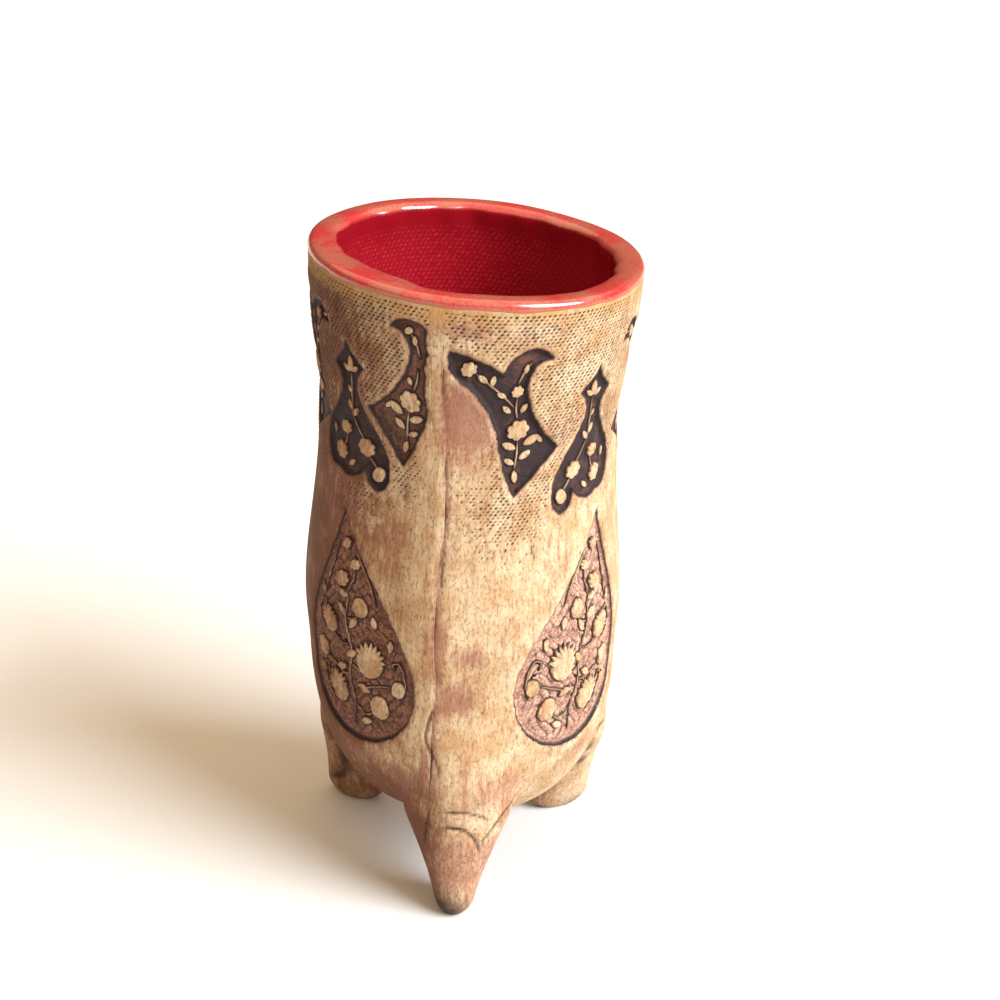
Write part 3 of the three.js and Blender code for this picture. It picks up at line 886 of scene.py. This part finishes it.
def glaze_over_rim(degrees, row, lump):
    angle = np.radians(degrees)
    shoulder = rim_height(degrees) - CAP
    ragged = 0.8 * np.sin(11 * angle + 1) + 0.6 * np.sin(17 * angle) + 0.4 * np.sin(31 * angle + 2)
    start = 0.018 * ragged - 0.008
    over = lerp(start, 1, np.clip(row / GLAZE_RIM, 0, 1))
    flat = squared(np.cos(np.pi * over))
    rise = squared(np.sin(np.pi * over))
    uneven = 0.35 * np.sin(4 * angle + 1) + 0.25 * np.sin(7 * angle)
    coat = lerp(-0.1, 0.25, fade(0, 0.12, over - start))
    half = np.where(flat > 0, WALL / 2 + coat, WALL / 2 + COAT)
    middle = side_radius(shoulder) - WALL / 2
    reach = middle + half * flat - lump * np.maximum(0, -flat) ** 2
    thick = (0.5 + 0.3 * uneven) * fade(0, 0.3, over - start)
    return reach, shoulder + (CAP + thick) * rise


def glaze_down_side(degrees, row, column, lump):
    shoulder = rim_height(degrees) - CAP
    down = np.clip((row - GLAZE_RIM) / GLAZE_SIDE, 0, 1)
    z = lerp(shoulder, BOWL_TOP, lerp(0.62 * down, down, down**4))
    weave = (row % 2 == 0) & ((column + row // 2) % 2 == 0)
    cloth = CLOTH_PRINT * weave * fade(80, 120, z) * (1 - fade(-5, -2, z - shoulder))
    return cavity_radius(z, COAT) - lump * hump(down, 0.07) - cloth, z, cloth


def build_glaze():
    rows = GLAZE_RIM + GLAZE_SIDE + GLAZE_BOWL + GLAZE_FLOOR
    side_end = GLAZE_RIM + GLAZE_SIDE
    bowl_end = side_end + GLAZE_BOWL
    floor_height = FLOOR_TOP + COAT
    noted = {}

    def shape(u, v):
        degrees = 360 * u
        row = np.rint(v * rows)
        column = np.rint(u * GLAZE_COLUMNS)
        lump = glaze_lump(degrees)
        r_rim, z_rim = glaze_over_rim(degrees, row, lump)
        r_side, z_side, cloth = glaze_down_side(degrees, row, column, lump)
        dish = np.clip((row - side_end) / GLAZE_BOWL, 0, 1)
        z_bowl = lerp(BOWL_TOP, floor_height, np.sin(np.pi / 2 * dish))
        r_bowl = cavity_radius(z_bowl, COAT)
        r_floor = FLAT_RADIUS * (1 - np.clip((row - bowl_end) / GLAZE_FLOOR, 0, 1))
        zones = [row <= GLAZE_RIM, row <= side_end, row <= bowl_end]
        z = np.select(zones, [z_rim, z_side, z_bowl], floor_height)
        r = np.select(zones, [r_rim, r_side, r_bowl], r_floor)
        noted["row"] = row
        noted["cloth"] = np.where((row > GLAZE_RIM) & (row < side_end), cloth / CLOTH_PRINT, 0)
        return at(degrees, r - lean(degrees, z) * (r > 1), z)

    obj = add_sheet("red_glaze", GLAZE_COLUMNS, rows, shape)
    mark(obj, "rim", 1 - fade(GLAZE_RIM - 5, GLAZE_RIM + 1, noted["row"]))
    mark(obj, "lip", 1 - fade(0, 3.4, noted["row"]))
    mark(obj, "cloth", noted["cloth"])
    with editing(obj):
        bpy.ops.mesh.remove_doubles(threshold=0.004 * MM)
        bpy.ops.mesh.normals_make_consistent(inside=False)
    bottom = Vector((0, 0, floor_height))
    lowest = min(obj.data.polygons, key=lambda face: (face.center / MM - bottom).length)
    if lowest.normal.z < 0:
        with editing(obj):
            bpy.ops.mesh.flip_normals()
    finish_with(obj, "SOLIDIFY", thickness=GLAZE_SHELL * MM, offset=-1, use_even_offset=False)
    smooth(obj, 80)
    return obj


# Dark slip in the panels

def slip_sheet(panel):
    """Points on an outline and on a fine grid inside it, and the triangles between them."""
    cell = DROP_CELL if panel.kind == "drop" else INLAY_CELL
    low, high = panel.outline.min(0), panel.outline.max(0)
    inner = []
    for i, y in enumerate(np.arange(low[1], high[1], cell * 0.87)):
        x = np.arange(low[0], high[0], cell) + (i % 2) * cell / 2
        inner.append(np.column_stack([x, np.full(len(x), y)]))
    inner = np.vstack(inner)
    distance, _ = edge_distance(inner, panel.outline)
    inner = inner[distance < -0.3]
    count = len(panel.outline)
    spots = [Vector(p) for p in np.vstack([panel.outline, inner])]
    ring = [(i, (i + 1) % count) for i in range(count)]
    found = delaunay_2d_cdt(spots, ring, [list(range(count))], 1, 1e-6)
    return np.array([tuple(p) for p in found[0]]), [list(face) for face in found[2]]


def slip_edge(panel, flat, depth):
    """Where the slip is darkened: along the edge and round the raised sprig as pooled slip and painted
    shade, and in the tracery.
    """
    if panel.kind == "drop":
        edge = 0.9 * (1 - fade(0, lerp(0.7, 1.8, fade(-18, -32, flat[:, 1])), depth))
    else:
        edge = 1 - fade(0.2, 1, depth)
    pooled_and_shaded = np.concatenate([
        np.sqrt(((part[:, None] - panel.motif) ** 2).sum(2).min(1)) for part in np.array_split(flat, 12)
    ])
    edge = np.maximum(edge, 0.85 * hump(pooled_and_shaded, 0.5))
    if panel.kind == "drop":
        edge = np.maximum(edge, 0.6 * panel.tracery(flat) * fade(1.2, 2.4, depth))
    return edge


def build_inlay(panel):
    flat, faces = slip_sheet(panel)
    distance, _ = edge_distance(flat, panel.outline)
    distance = np.minimum(distance, 0)
    points = panel.roll(flat, panel.floor(flat, distance))
    mesh = bpy.data.meshes.new("slip_" + panel.name)
    mesh.from_pydata((points * MM).tolist(), [], faces)
    obj = bpy.data.objects.new(mesh.name, mesh)
    bpy.context.collection.objects.link(obj)
    mark(obj, "edge", slip_edge(panel, flat, -distance))
    # The right teardrop's pale slip is partly painted light.
    mark(obj, "ground", np.full(len(flat), PALE_GROUND_AND_LIGHT.get(panel.name, 0.0)))
    outward = np.mean([face.normal.dot(face.center.normalized()) for face in mesh.polygons])
    if outward < 0:
        with editing(obj):
            bpy.ops.mesh.flip_normals()
    finish_with(obj, "SOLIDIFY", thickness=INLAY * MM, offset=-1)
    smooth(obj, 60)
    return obj


# Raised sprigs of flowers on the slip

def raise_face(height):
    bpy.ops.mesh.extrude_region_move(TRANSFORM_OT_translate={"value": (0, 0, height * MM)})


def stamp(name, outline, top=0.95):
    bpy.ops.object.select_all(action="DESELECT")
    bpy.ops.mesh.primitive_circle_add(vertices=len(outline), radius=MM, fill_type="NGON")
    obj = bpy.context.object
    obj.name = name
    move_points(obj, np.column_stack([outline, np.full(len(outline), -0.5)]))
    with editing(obj):
        raise_face(0.55)
        raise_face(top - 0.2)
        bpy.ops.transform.resize(value=(0.9, 0.9, 1))
        raise_face(0.15)
        bpy.ops.transform.resize(value=(0.8, 0.8, 1))
        bpy.ops.mesh.select_all(action="SELECT")
        bpy.ops.mesh.normals_make_consistent(inside=False)
    return obj


def ring_outline(count, radius):
    t = np.linspace(0, 2 * np.pi, count, endpoint=False)
    r = radius(t)
    return np.column_stack([r * np.cos(t), r * np.sin(t)])


def leaf_outline():
    t = np.linspace(0, 2 * np.pi, 20, endpoint=False)
    return np.column_stack([0.5 * np.sin(t) * np.sqrt(np.abs(np.sin(t))), 1 - np.cos(t)])


def fan_radius(t):
    teeth = np.abs(((t / np.pi * 9) % 1) - 0.5) * 2
    return np.where(np.sin(t) > 0.1, 0.78 + 0.3 * teeth, 0.9)


def blossom_radius(t):
    return 0.8 + 0.2 * np.abs(np.cos(3.5 * t + 0.4)) + 0.04 * np.sin(2 * t)


STAMPS = {
    "blossom": stamp("blossom", ring_outline(56, blossom_radius) * (1, 0.88)),
    "fan": stamp("fan", ring_outline(72, fan_radius) * (0.82, 1), 1.0),
    "leaf": stamp("leaf", leaf_outline(), 0.6),
    "pod": stamp("pod", ring_outline(32, lambda t: 0.8 + 0.2 * np.abs(np.sin(t))), 0.85),
}

# Each sprig's stamps, by kind, x, y, size and turn, and its stems, by corners
TULIP_SPRIG = [
    ("blossom", 0.4, -1.4, 3.5, 8), ("blossom", -5.4, 15.6, 2.3, 25), ("pod", 7.6, 16.6, 1.5, 40),
    ("leaf", 0.4, -6.6, 2.9, -74), ("leaf", -0.2, -7.6, 2.9, 70), ("leaf", 0.2, -10.8, 2.0, -50),
    ("leaf", -0.1, -11.6, 1.9, 52), ("leaf", 0, -13.2, 2.0, 180), ("leaf", -0.6, 5.2, 1.6, 62),
    ("leaf", 1.4, 6.4, 1.6, -58), ("leaf", 2.8, 10.4, 1.5, -66), ("leaf", -2.4, 9.8, 1.5, 70),
    ("leaf", 4.6, 14.2, 1.3, 20), ("leaf", -8.2, 16.8, 1.5, 80), ("leaf", 9.0, -7.0, 1.4, 30),
]
TULIP_STEMS = [
    [(0, -13.4), (0.5, -9), (0, -4)], [(0.2, 1.6), (0.4, 5), (-1.8, 9.6), (-5, 14)],
    [(0.3, 5), (2, 9.4), (4.6, 13.2), (7.2, 16)],
]
WORN_SPRIG = [
    ("blossom", 2.6, -2.0, 3.3, 8), ("blossom", 3.0, 8.8, 1.8, 20), ("pod", 7.8, 16.6, 1.5, 40),
    ("leaf", 3.6, -6.4, 2.6, -70), ("leaf", 1.8, -7.2, 2.2, 60), ("leaf", 2.2, -10.2, 2.0, -64),
    ("leaf", 1.0, -11.4, 1.7, 56), ("leaf", 0.8, -13.0, 1.9, 178), ("leaf", 3.4, 2.6, 1.6, -40),
    ("leaf", 5.2, 13.2, 1.4, -20), ("leaf", 9.0, -7.0, 1.4, 30), ("blossom", -8.4, 16.6, 2.3, 25),
    ("leaf", -4.2, 12.2, 1.7, 40), ("leaf", -3.4, 11.2, 1.6, -20), ("leaf", 0.2, 7.6, 1.5, 56),
    ("leaf", 1.0, 3.0, 1.6, 40),
]
WORN_STEMS = [
    [(0.8, -13.2), (1.8, -9), (2.4, -4.4)], [(2.6, 1), (2.4, 4), (2.9, 7.4)],
    [(3.2, 10.4), (5, 13.6), (7.4, 16.2)], [(2.3, 4), (-1, 8.6), (-4, 12), (-7, 15.4)],
]
BUD_SPRIG = [
    ("blossom", -4.4, -8.6, 2.9, 10), ("blossom", 5.2, -12.0, 2.7, 40), ("blossom", 3.0, -5.0, 2.2, 0),
    ("pod", -8.3, -15.2, 2.2, 30), ("leaf", 0.4, 0.2, 1.7, -26), ("leaf", 0.2, -1.2, 1.7, 36),
    ("leaf", 0.2, 11.0, 2.3, 0), ("leaf", 0.4, 11.0, 1.6, -58), ("leaf", 0, 11.2, 1.6, 56),
    ("leaf", 8.4, -8.6, 1.5, -10), ("leaf", -0.4, -13.2, 1.6, -130), ("leaf", 0.4, 5.2, 1.1, -34),
]
BUD_STEMS = [
    [(0.4, -2.6), (0.5, 3), (0.2, 11.4)], [(0.4, -1), (-1.8, -4.6), (-3.8, -7.2)],
    [(2.8, -6.6), (3.4, -9), (4.8, -10.8)], [(-5, -10.6), (-6.4, -12.4), (-7.6, -13.8)],
]
DROP_SPRIG = [
    ("fan", -6.8, -19.0, 5.2, 24), ("fan", 6.5, -8.5, 6.0, -20), ("fan", -7.4, 0.8, 4.2, 30),
    ("pod", 8.2, -22.0, 3.6, 20), ("pod", -13.6, -9.2, 3.2, -30), ("pod", 4.8, 7.0, 2.9, 15),
    ("pod", 15.0, -15.4, 2.6, -25), ("blossom", -1.5, 14.0, 2.7, 0), ("blossom", 3.6, 18.8, 1.8, 10),
    ("blossom", 0.6, 24.2, 1.7, 30), ("leaf", -2.2, -11.4, 2.4, 110), ("leaf", -1.6, -8.4, 2.4, -60),
    ("leaf", 0.6, 0.4, 2.2, -40), ("leaf", -0.4, 3.6, 2.2, 40), ("leaf", 0.8, -27.4, 2.2, -80),
    ("leaf", -13.6, -16.8, 2.0, 60), ("leaf", 13.6, -4.6, 2.0, -10), ("leaf", 0.4, 9.0, 1.9, 60),
    ("leaf", -9.6, 7.6, 2.0, 20), ("leaf", 1.4, -16.0, 2.2, -120), ("leaf", 9.4, 1.4, 1.9, 10),
]
DROP_STEMS = [
    [(-2, -29), (-0.5, -22), (-1.5, -14), (0.6, -6), (-0.6, 2), (0.4, 9), (-1, 12)],
    [(-1.4, -14), (-4, -14.2), (-5.6, -15.4)], [(-0.2, -10), (2.4, -11.8), (5, -12)],
    [(0.4, -4.5), (-3, -4.6), (-6, -2.4)], [(-0.4, 3), (2.4, 3.4), (4.2, 4.8)],
    [(-0.8, -22), (3, -25), (6.2, -23.6)], [(-1.4, -15), (-7, -12.6), (-11.4, -11)],
    [(0, 10), (2.4, 14), (3.6, 17.4)], [(0.4, -18), (6, -16.2), (12.8, -15)],
    [(-9, -24.2), (-12.4, -21), (-14.6, -15.4), (-12.6, -13.8), (-11.4, -16)],
    [(15.4, -19), (17.4, -14), (16.8, -8), (14.2, -7.8), (14.4, -10)],
    [(-11, -3), (-13.6, 1.6), (-11.2, 5.6), (-9.2, 4.6), (-10.4, 2.8)],
    [(-3, 24), (-5, 19), (-7.6, 13), (-9, 9)], [(2.4, 27), (4.6, 21), (8, 14), (10, 8)],
]


def stem(path, width, height):
    count = len(path) - 1
    way = np.gradient(path, axis=0)
    way /= np.linalg.norm(way, axis=1)[:, None]

    def shape(u, v):
        i = np.rint(v * count).astype(int)
        taper = 1 - 0.55 * np.abs(2 * v - 1) ** 4
        round_way = 2 * np.pi * u
        side = np.cos(round_way) * width * taper
        x = path[i, 0] - way[i, 1] * side
        y = path[i, 1] + way[i, 0] * side
        return np.column_stack([x, y, np.where(u < 0.5, np.sin(round_way) * height * taper, -0.3)])

    obj = add_sheet("stem", 10, count, shape)
    close_up(obj)
    return obj


def clearance(panel, flat):
    return -edge_distance(flat, panel.outline)[0]


def lay_stamp(panel, kind, x, y, size, degrees):
    """A stamp's copy laid flat on a panel, smaller or left off where the panel is too narrow for it."""
    piece = copy_of(STAMPS[kind], kind)
    p = points_of(piece)
    for scale in (size, 0.75 * size):
        spread = turned(p[:, :2], 1, degrees) * scale + (x, y)
        flat = turned(spread, panel.side, panel.tilt)
        if clearance(panel, flat).min() > 0.4:
            move_points(piece, np.column_stack([flat, p[:, 2]]))
            return [piece]
    discard(piece)
    return []


def build_sprig(panel):
    sprig, stems, width = {
        "tulip": (WORN_SPRIG, WORN_STEMS, 0.36) if panel.worn else (TULIP_SPRIG, TULIP_STEMS, 0.36),
        "bud": (BUD_SPRIG, BUD_STEMS, 0.34),
        "drop": (DROP_SPRIG, DROP_STEMS, 0.34),
    }[panel.kind]
    pieces = []
    for placed in sprig:
        pieces += lay_stamp(panel, *placed)
    for corners in stems:
        path = turned(smooth_path(corners, 8 * len(corners) - 7), panel.side, panel.tilt)
        path = path[clearance(panel, path) > 0.8]
        if len(path) > 4:
            pieces.append(stem(path, width, 0.5))
    obj = join(pieces, panel.name.replace("inlay", "sprig"))
    p = points_of(obj)
    flat = p[:, :2]
    panel.motif = flat[p[:, 2] < 0.1]
    distance, _ = edge_distance(flat, panel.outline)
    ground = panel.floor(flat, np.minimum(distance, 0))
    move_points(obj, panel.roll(flat, ground + p[:, 2]))
    # The sprig is darker low down than on its top: slip stain and painted shade.
    mark(obj, "stain", 1 - fade(0.1, 0.75, p[:, 2]))
    # Brown tint on sprigs of the left flank: stain and painted shade.
    mark(obj, "tan", 0.5 * left_shade_and_stain(*panel.polar(flat)))
    with editing(obj):
        bpy.ops.mesh.normals_make_consistent(inside=False)
    smooth(obj, 35)
    return obj


# Materials

class Wire:
    """A socket that can be written into sums."""

    def __init__(self, socket):
        self.socket = socket

    def node(self, kind, settings=None, values=None, out=0):
        tree = self.socket.id_data
        node = tree.nodes.new(kind)
        for name, value in (settings or {}).items():
            setattr(node, name, value)
        for key, value in (values or {}).items():
            if isinstance(value, Wire):
                tree.links.new(value.socket, node.inputs[key])
            else:
                node.inputs[key].default_value = value
        return Wire(node.outputs[out])

    def maths(self, operation, first, second):
        return self.node("ShaderNodeMath", {"operation": operation}, {0: first, 1: second})

    def __add__(self, other):
        return self.maths("ADD", self, other)

    def __radd__(self, other):
        return self.maths("ADD", other, self)

    def __sub__(self, other):
        return self.maths("SUBTRACT", self, other)

    def __rsub__(self, other):
        return self.maths("SUBTRACT", other, self)

    def __mul__(self, other):
        return self.maths("MULTIPLY", self, other)

    def __rmul__(self, other):
        return self.maths("MULTIPLY", other, self)

    def most(self, other):
        return self.maths("MAXIMUM", self, other)

    def between(self, low, high):
        values = {"Value": self, "From Min": low, "From Max": high}
        return self.node("ShaderNodeMapRange", {"interpolation_type": "SMOOTHSTEP"}, values)

    def tint(self, first, second):
        return self.node("ShaderNodeMix", {"data_type": "RGBA"}, {0: self, 6: first, 7: second}, out=2)

    def noise(self, size, stretch=(1, 1, 1), detail=4, rough=0.55):
        scale = tuple(1 / (size * MM * s) for s in stretch)
        place = self.node("ShaderNodeVectorMath", {"operation": "MULTIPLY"}, {0: self, 1: scale})
        values = {"Vector": place, "Scale": 1.0, "Detail": detail, "Roughness": rough}
        return self.node("ShaderNodeTexNoise", {}, values)

    def attribute(self, name):
        return self.node("ShaderNodeAttribute", {"attribute_name": name}, out="Fac")

    def bump(self, distance, strength=1.0, under=None):
        values = {"Height": self, "Distance": distance * MM, "Strength": strength}
        if under is not None:
            values["Normal"] = under
        return self.node("ShaderNodeBump", {}, values)


def colour(red, green, blue):
    return (red, green, blue, 1)


def start_material(name):
    material = bpy.data.materials.new(name)
    material.use_nodes = True
    tree = material.node_tree
    shader = tree.nodes["Principled BSDF"]
    place = Wire(tree.nodes.new("ShaderNodeTexCoord").outputs["Object"])
    return material, shader, place


def feed(shader, **wires):
    for name, wire in wires.items():
        shader.id_data.links.new(wire.socket, shader.inputs[name.replace("_", " ")])


# Clay and its stains; the tan and sepia over the left flank are also painted shade
CREAM = colour(0.61, 0.465, 0.29)
BUFF = colour(0.47, 0.28, 0.13)
BROWN = colour(0.17, 0.075, 0.038)
TAN_STAIN_AND_SHADE = colour(0.19, 0.066, 0.02)
ROSE = colour(0.31, 0.13, 0.085)
SEPIA_STAIN_AND_SHADE = colour(0.105, 0.036, 0.012)
OCHRE = colour(0.47, 0.25, 0.075)
UMBER = colour(0.045, 0.018, 0.016)
PIT = colour(0.03, 0.012, 0.009)
# Slip, in pairs from dark to light, and where it pools, darkest along the edges and round the sprigs as
# pooled slip and painted shade
PLUM = colour(0.024, 0.012, 0.014), colour(0.13, 0.05, 0.03)
CHESTNUT = colour(0.10, 0.038, 0.024), colour(0.30, 0.13, 0.075)
MAUVE = colour(0.26, 0.115, 0.08), colour(0.58, 0.36, 0.25)
POOLED_SLIP_AND_SHADE = colour(0.02, 0.010, 0.011)
# Glaze: deep inside, on the raised print as thinner glaze and a painted highlight, over the rim and at
# its thin edge
RED = colour(0.25, 0.0042, 0.0098)
PINK_HIGHLIGHT_AND_THIN_GLAZE = colour(0.55, 0.055, 0.075)
SALMON = colour(0.39, 0.10, 0.068)
CORAL = colour(0.46, 0.03, 0.032)
RUST = colour(0.36, 0.13, 0.045)


def clay_material():
    material, shader, place = start_material("stained clay")
    broad = place.noise(26, detail=3)
    blotch = place.noise(8, detail=5, rough=0.6)
    streak = place.noise(1.3, (1, 1, 7), detail=4)
    grain = place.noise(0.65, (1, 1, 2.2), detail=4, rough=0.7)
    hair = place.noise(7, (1, 1, 5), detail=3)
    speck = place.noise(0.32, (1, 1, 1.6), detail=2)

    base = (0.7 * blotch + 0.3 * streak).between(0.36, 0.64).tint(CREAM, BUFF)
    # Brown tints on the left flank and the left of the front foot: stain and painted shade.
    tan = place.attribute("tan")
    uneven = 1.1 * (blotch - 0.5) + 1.1 * (streak - 0.5) + 0.9 * (grain - 0.5)
    base = (tan + uneven * tan).between(0, 0.9).tint(base, TAN_STAIN_AND_SHADE)
    rosy = (0.65 * broad + 0.35 * streak).between(0.5, 0.7) * 0.5
    worked = 0.7 * (streak - 0.5) + 0.6 * (blotch - 0.5) + 0.9 * (grain - 0.5)
    # The rosy patches include painted shade on the left flank and under the feet.
    rubbed_and_shaded = (place.attribute("blush_and_shade") + worked).between(0.2, 0.95) * 0.85
    base = rosy.most(rubbed_and_shaded).tint(base, ROSE)
    base = (streak.between(0.55, 0.75) * 0.45).tint(base, ROSE)
    base = ((tan + 1.4 * uneven * tan).between(0.35, 1.15) * 0.85).tint(base, SEPIA_STAIN_AND_SHADE)
    base = (grain.between(0.47, 0.68) * 0.65).tint(base, BROWN)
    base = (speck.between(0.56, 0.74) * 0.6).tint(base, BROWN)
    glow = place.attribute("halo")
    base = ((glow + (blotch - 0.5) * 1.6 * glow).between(0.3, 1.1) * 0.6).tint(base, OCHRE)
    line = place.maths("ABSOLUTE", hair - 0.5, 0.0).between(0.012, 0.003)
    crack = line * broad.between(0.5, 0.6) * 0.3
    base = crack.tint(base, UMBER)
    # Dark stain in creases, seams and round the panels, and painted shade low on the sprigs.
    stain = place.attribute("stain")
    dark = (stain + (blotch - 0.5) * stain * 0.8).between(0.05, 0.95)
    base = dark.tint(base, UMBER)
    pit = place.attribute("pit").between(0.17, 0.6) * 0.95
    base = pit.tint(base, PIT)

    relief = grain.bump(0.2, 0.8, under=streak.bump(0.3, 0.4, under=blotch.bump(0.5, 0.3)))
    feed(shader, Base_Color=base, Roughness=0.62 + 0.25 * blotch, Normal=relief)
    shader.inputs["Specular IOR Level"].default_value = 0.35
    return material


def slip_material():
    material, shader, place = start_material("dark slip")
    mottle = place.noise(3.2, detail=5, rough=0.65)
    fine = place.noise(0.7, detail=3)
    broad = place.noise(14, detail=2)

    plum = (0.6 * mottle + 0.4 * broad).between(0.48, 0.7).tint(*PLUM)
    marbled = (0.5 * mottle + 0.5 * fine).between(0.4, 0.62)
    chestnut = marbled.tint(*CHESTNUT)
    mauve = marbled.tint(*MAUVE)
    ground = place.attribute("ground")
    base = ground.between(0, 0.5).tint(plum, chestnut)
    base = ground.between(0.5, 1).tint(base, mauve)
    # Dark along the panel edges and round the sprigs: pooled slip and painted shade.
    pooled_and_shaded = (place.attribute("edge") + 0.5 * (mottle - 0.5)).between(0.25, 0.85)
    base = pooled_and_shaded.tint(base, POOLED_SLIP_AND_SHADE)

    relief = fine.bump(0.25, 0.8, under=mottle.bump(0.6, 0.6))
    feed(shader, Base_Color=base, Roughness=0.6 + 0.3 * mottle, Normal=relief)
    shader.inputs["Specular IOR Level"].default_value = 0.35
    return material


def glaze_material():
    material, shader, place = start_material("red glaze")
    rim = place.attribute("rim")
    lip = place.attribute("lip")
    cloud = place.noise(12, detail=3)
    thin = place.noise(4, detail=3)
    fleck = place.noise(0.8, detail=3)

    # Paler pink on the raised print: thinner glaze and a painted highlight.
    inside = (place.attribute("cloth") * fleck.between(0.35, 0.65) * 0.5).tint(RED, PINK_HIGHLIGHT_AND_THIN_GLAZE)
    pale = (0.6 * cloud + 0.4 * fleck).between(0.42, 0.6).tint(SALMON, CORAL)
    base = (rim + 0.5 * (fleck - 0.5)).between(0.3, 0.8).tint(inside, pale)
    patchy = 0.5 * (fleck - 0.5) + 1.6 * (thin - 0.5)
    bare = (lip + lip * patchy).between(0.35, 0.75)
    base = bare.tint(base, RUST)

    relief = fleck.bump(0.1, 0.3, under=cloud.bump(0.9, 0.25))
    coat = 0.6 - 0.6 * bare
    feed(shader, Base_Color=base, Roughness=0.2 + 0.45 * bare, Normal=relief, Coat_Weight=coat)
    shader.inputs["Coat Roughness"].default_value = 0.06
    return material


CLAY = clay_material()
SLIP = slip_material()
GLAZE = glaze_material()


def hand_in(piece, material, node=None):
    piece.data.materials.clear()
    piece.data.materials.append(material)
    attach(piece, "root")
    if node:
        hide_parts(node)


hand_in(build_wall(), CLAY, "wall_slab")
hand_in(build_seam(), CLAY, "seam_coil")
feet, floor_piece = build_feet_and_floor()
for name, foot in zip(FEET, feet):
    hand_in(foot, CLAY, name)
hand_in(floor_piece, CLAY, "floor_slab")
hand_in(build_glaze(), GLAZE, "glaze_liner")
for panel in PANELS:
    hand_in(build_sprig(panel), CLAY)
    hand_in(build_inlay(panel), SLIP, panel.name)
discard(form, *STAMPS.values())


# Table, light and camera

TABLE_SIZE = 60
TABLE_TONES = colour(0.665, 0.66, 0.65), colour(0.69, 0.685, 0.68)
ROOM_TONE = colour(1.0, 0.68, 0.42)
ROOM_STRENGTH = 0.085
# Suns: azimuth, elevation, spread, strength and tone
SUNS = {
    "window": (64, 36, 40, 6.5, (0.95, 1.0, 1.06)),
    "ceiling": (0, 89, 110, 2.7, (1.0, 0.75, 0.48)),
}
CAMERA_LENS = 72
CAMERA_SENSOR = 36
CAMERA_PLACE = (0.0084, -0.494, 0.336)
CAMERA_TILT = 65.1
CAMERA_ROLL = 2.2


def build_stage():
    bpy.ops.object.select_all(action="DESELECT")
    bpy.ops.mesh.primitive_plane_add(size=TABLE_SIZE)
    table = bpy.context.object
    table.name = "table"
    material, shader, place = start_material("white table")
    feed(shader, Base_Color=place.noise(400, detail=2).tint(*TABLE_TONES))
    shader.inputs["Roughness"].default_value = 0.55
    table.data.materials.append(material)


def add_sun(name, azimuth, elevation, spread, strength, tone):
    light = bpy.data.lights.new(name, "SUN")
    light.energy = strength
    light.angle = math.radians(spread)
    light.color = tone
    obj = bpy.data.objects.new(name, light)
    bpy.context.collection.objects.link(obj)
    round_by, lift = math.radians(azimuth), math.radians(elevation)
    level = math.cos(lift)
    way = Vector((math.sin(round_by) * level, -math.cos(round_by) * level, math.sin(lift)))
    obj.location = way
    obj.rotation_euler = way.to_track_quat("Z", "Y").to_euler()


def build_light():
    world = bpy.data.worlds.new("studio")
    world.use_nodes = True
    background = world.node_tree.nodes["Background"]
    background.inputs["Color"].default_value = ROOM_TONE
    background.inputs["Strength"].default_value = ROOM_STRENGTH
    bpy.context.scene.world = world
    for name, settings in SUNS.items():
        add_sun(name, *settings)
    bpy.context.scene.view_settings.view_transform = "Standard"


def build_camera():
    camera = bpy.data.cameras.new("camera")
    camera.lens = CAMERA_LENS
    camera.sensor_width = CAMERA_SENSOR
    obj = bpy.data.objects.new("camera", camera)
    bpy.context.collection.objects.link(obj)
    tilt = Matrix.Rotation(math.radians(CAMERA_TILT), 4, "X")
    roll = Matrix.Rotation(math.radians(CAMERA_ROLL), 4, "Z")
    obj.matrix_world = Matrix.Translation(CAMERA_PLACE) @ tilt @ roll
    bpy.context.scene.camera = obj


build_stage()
build_light()
build_camera()
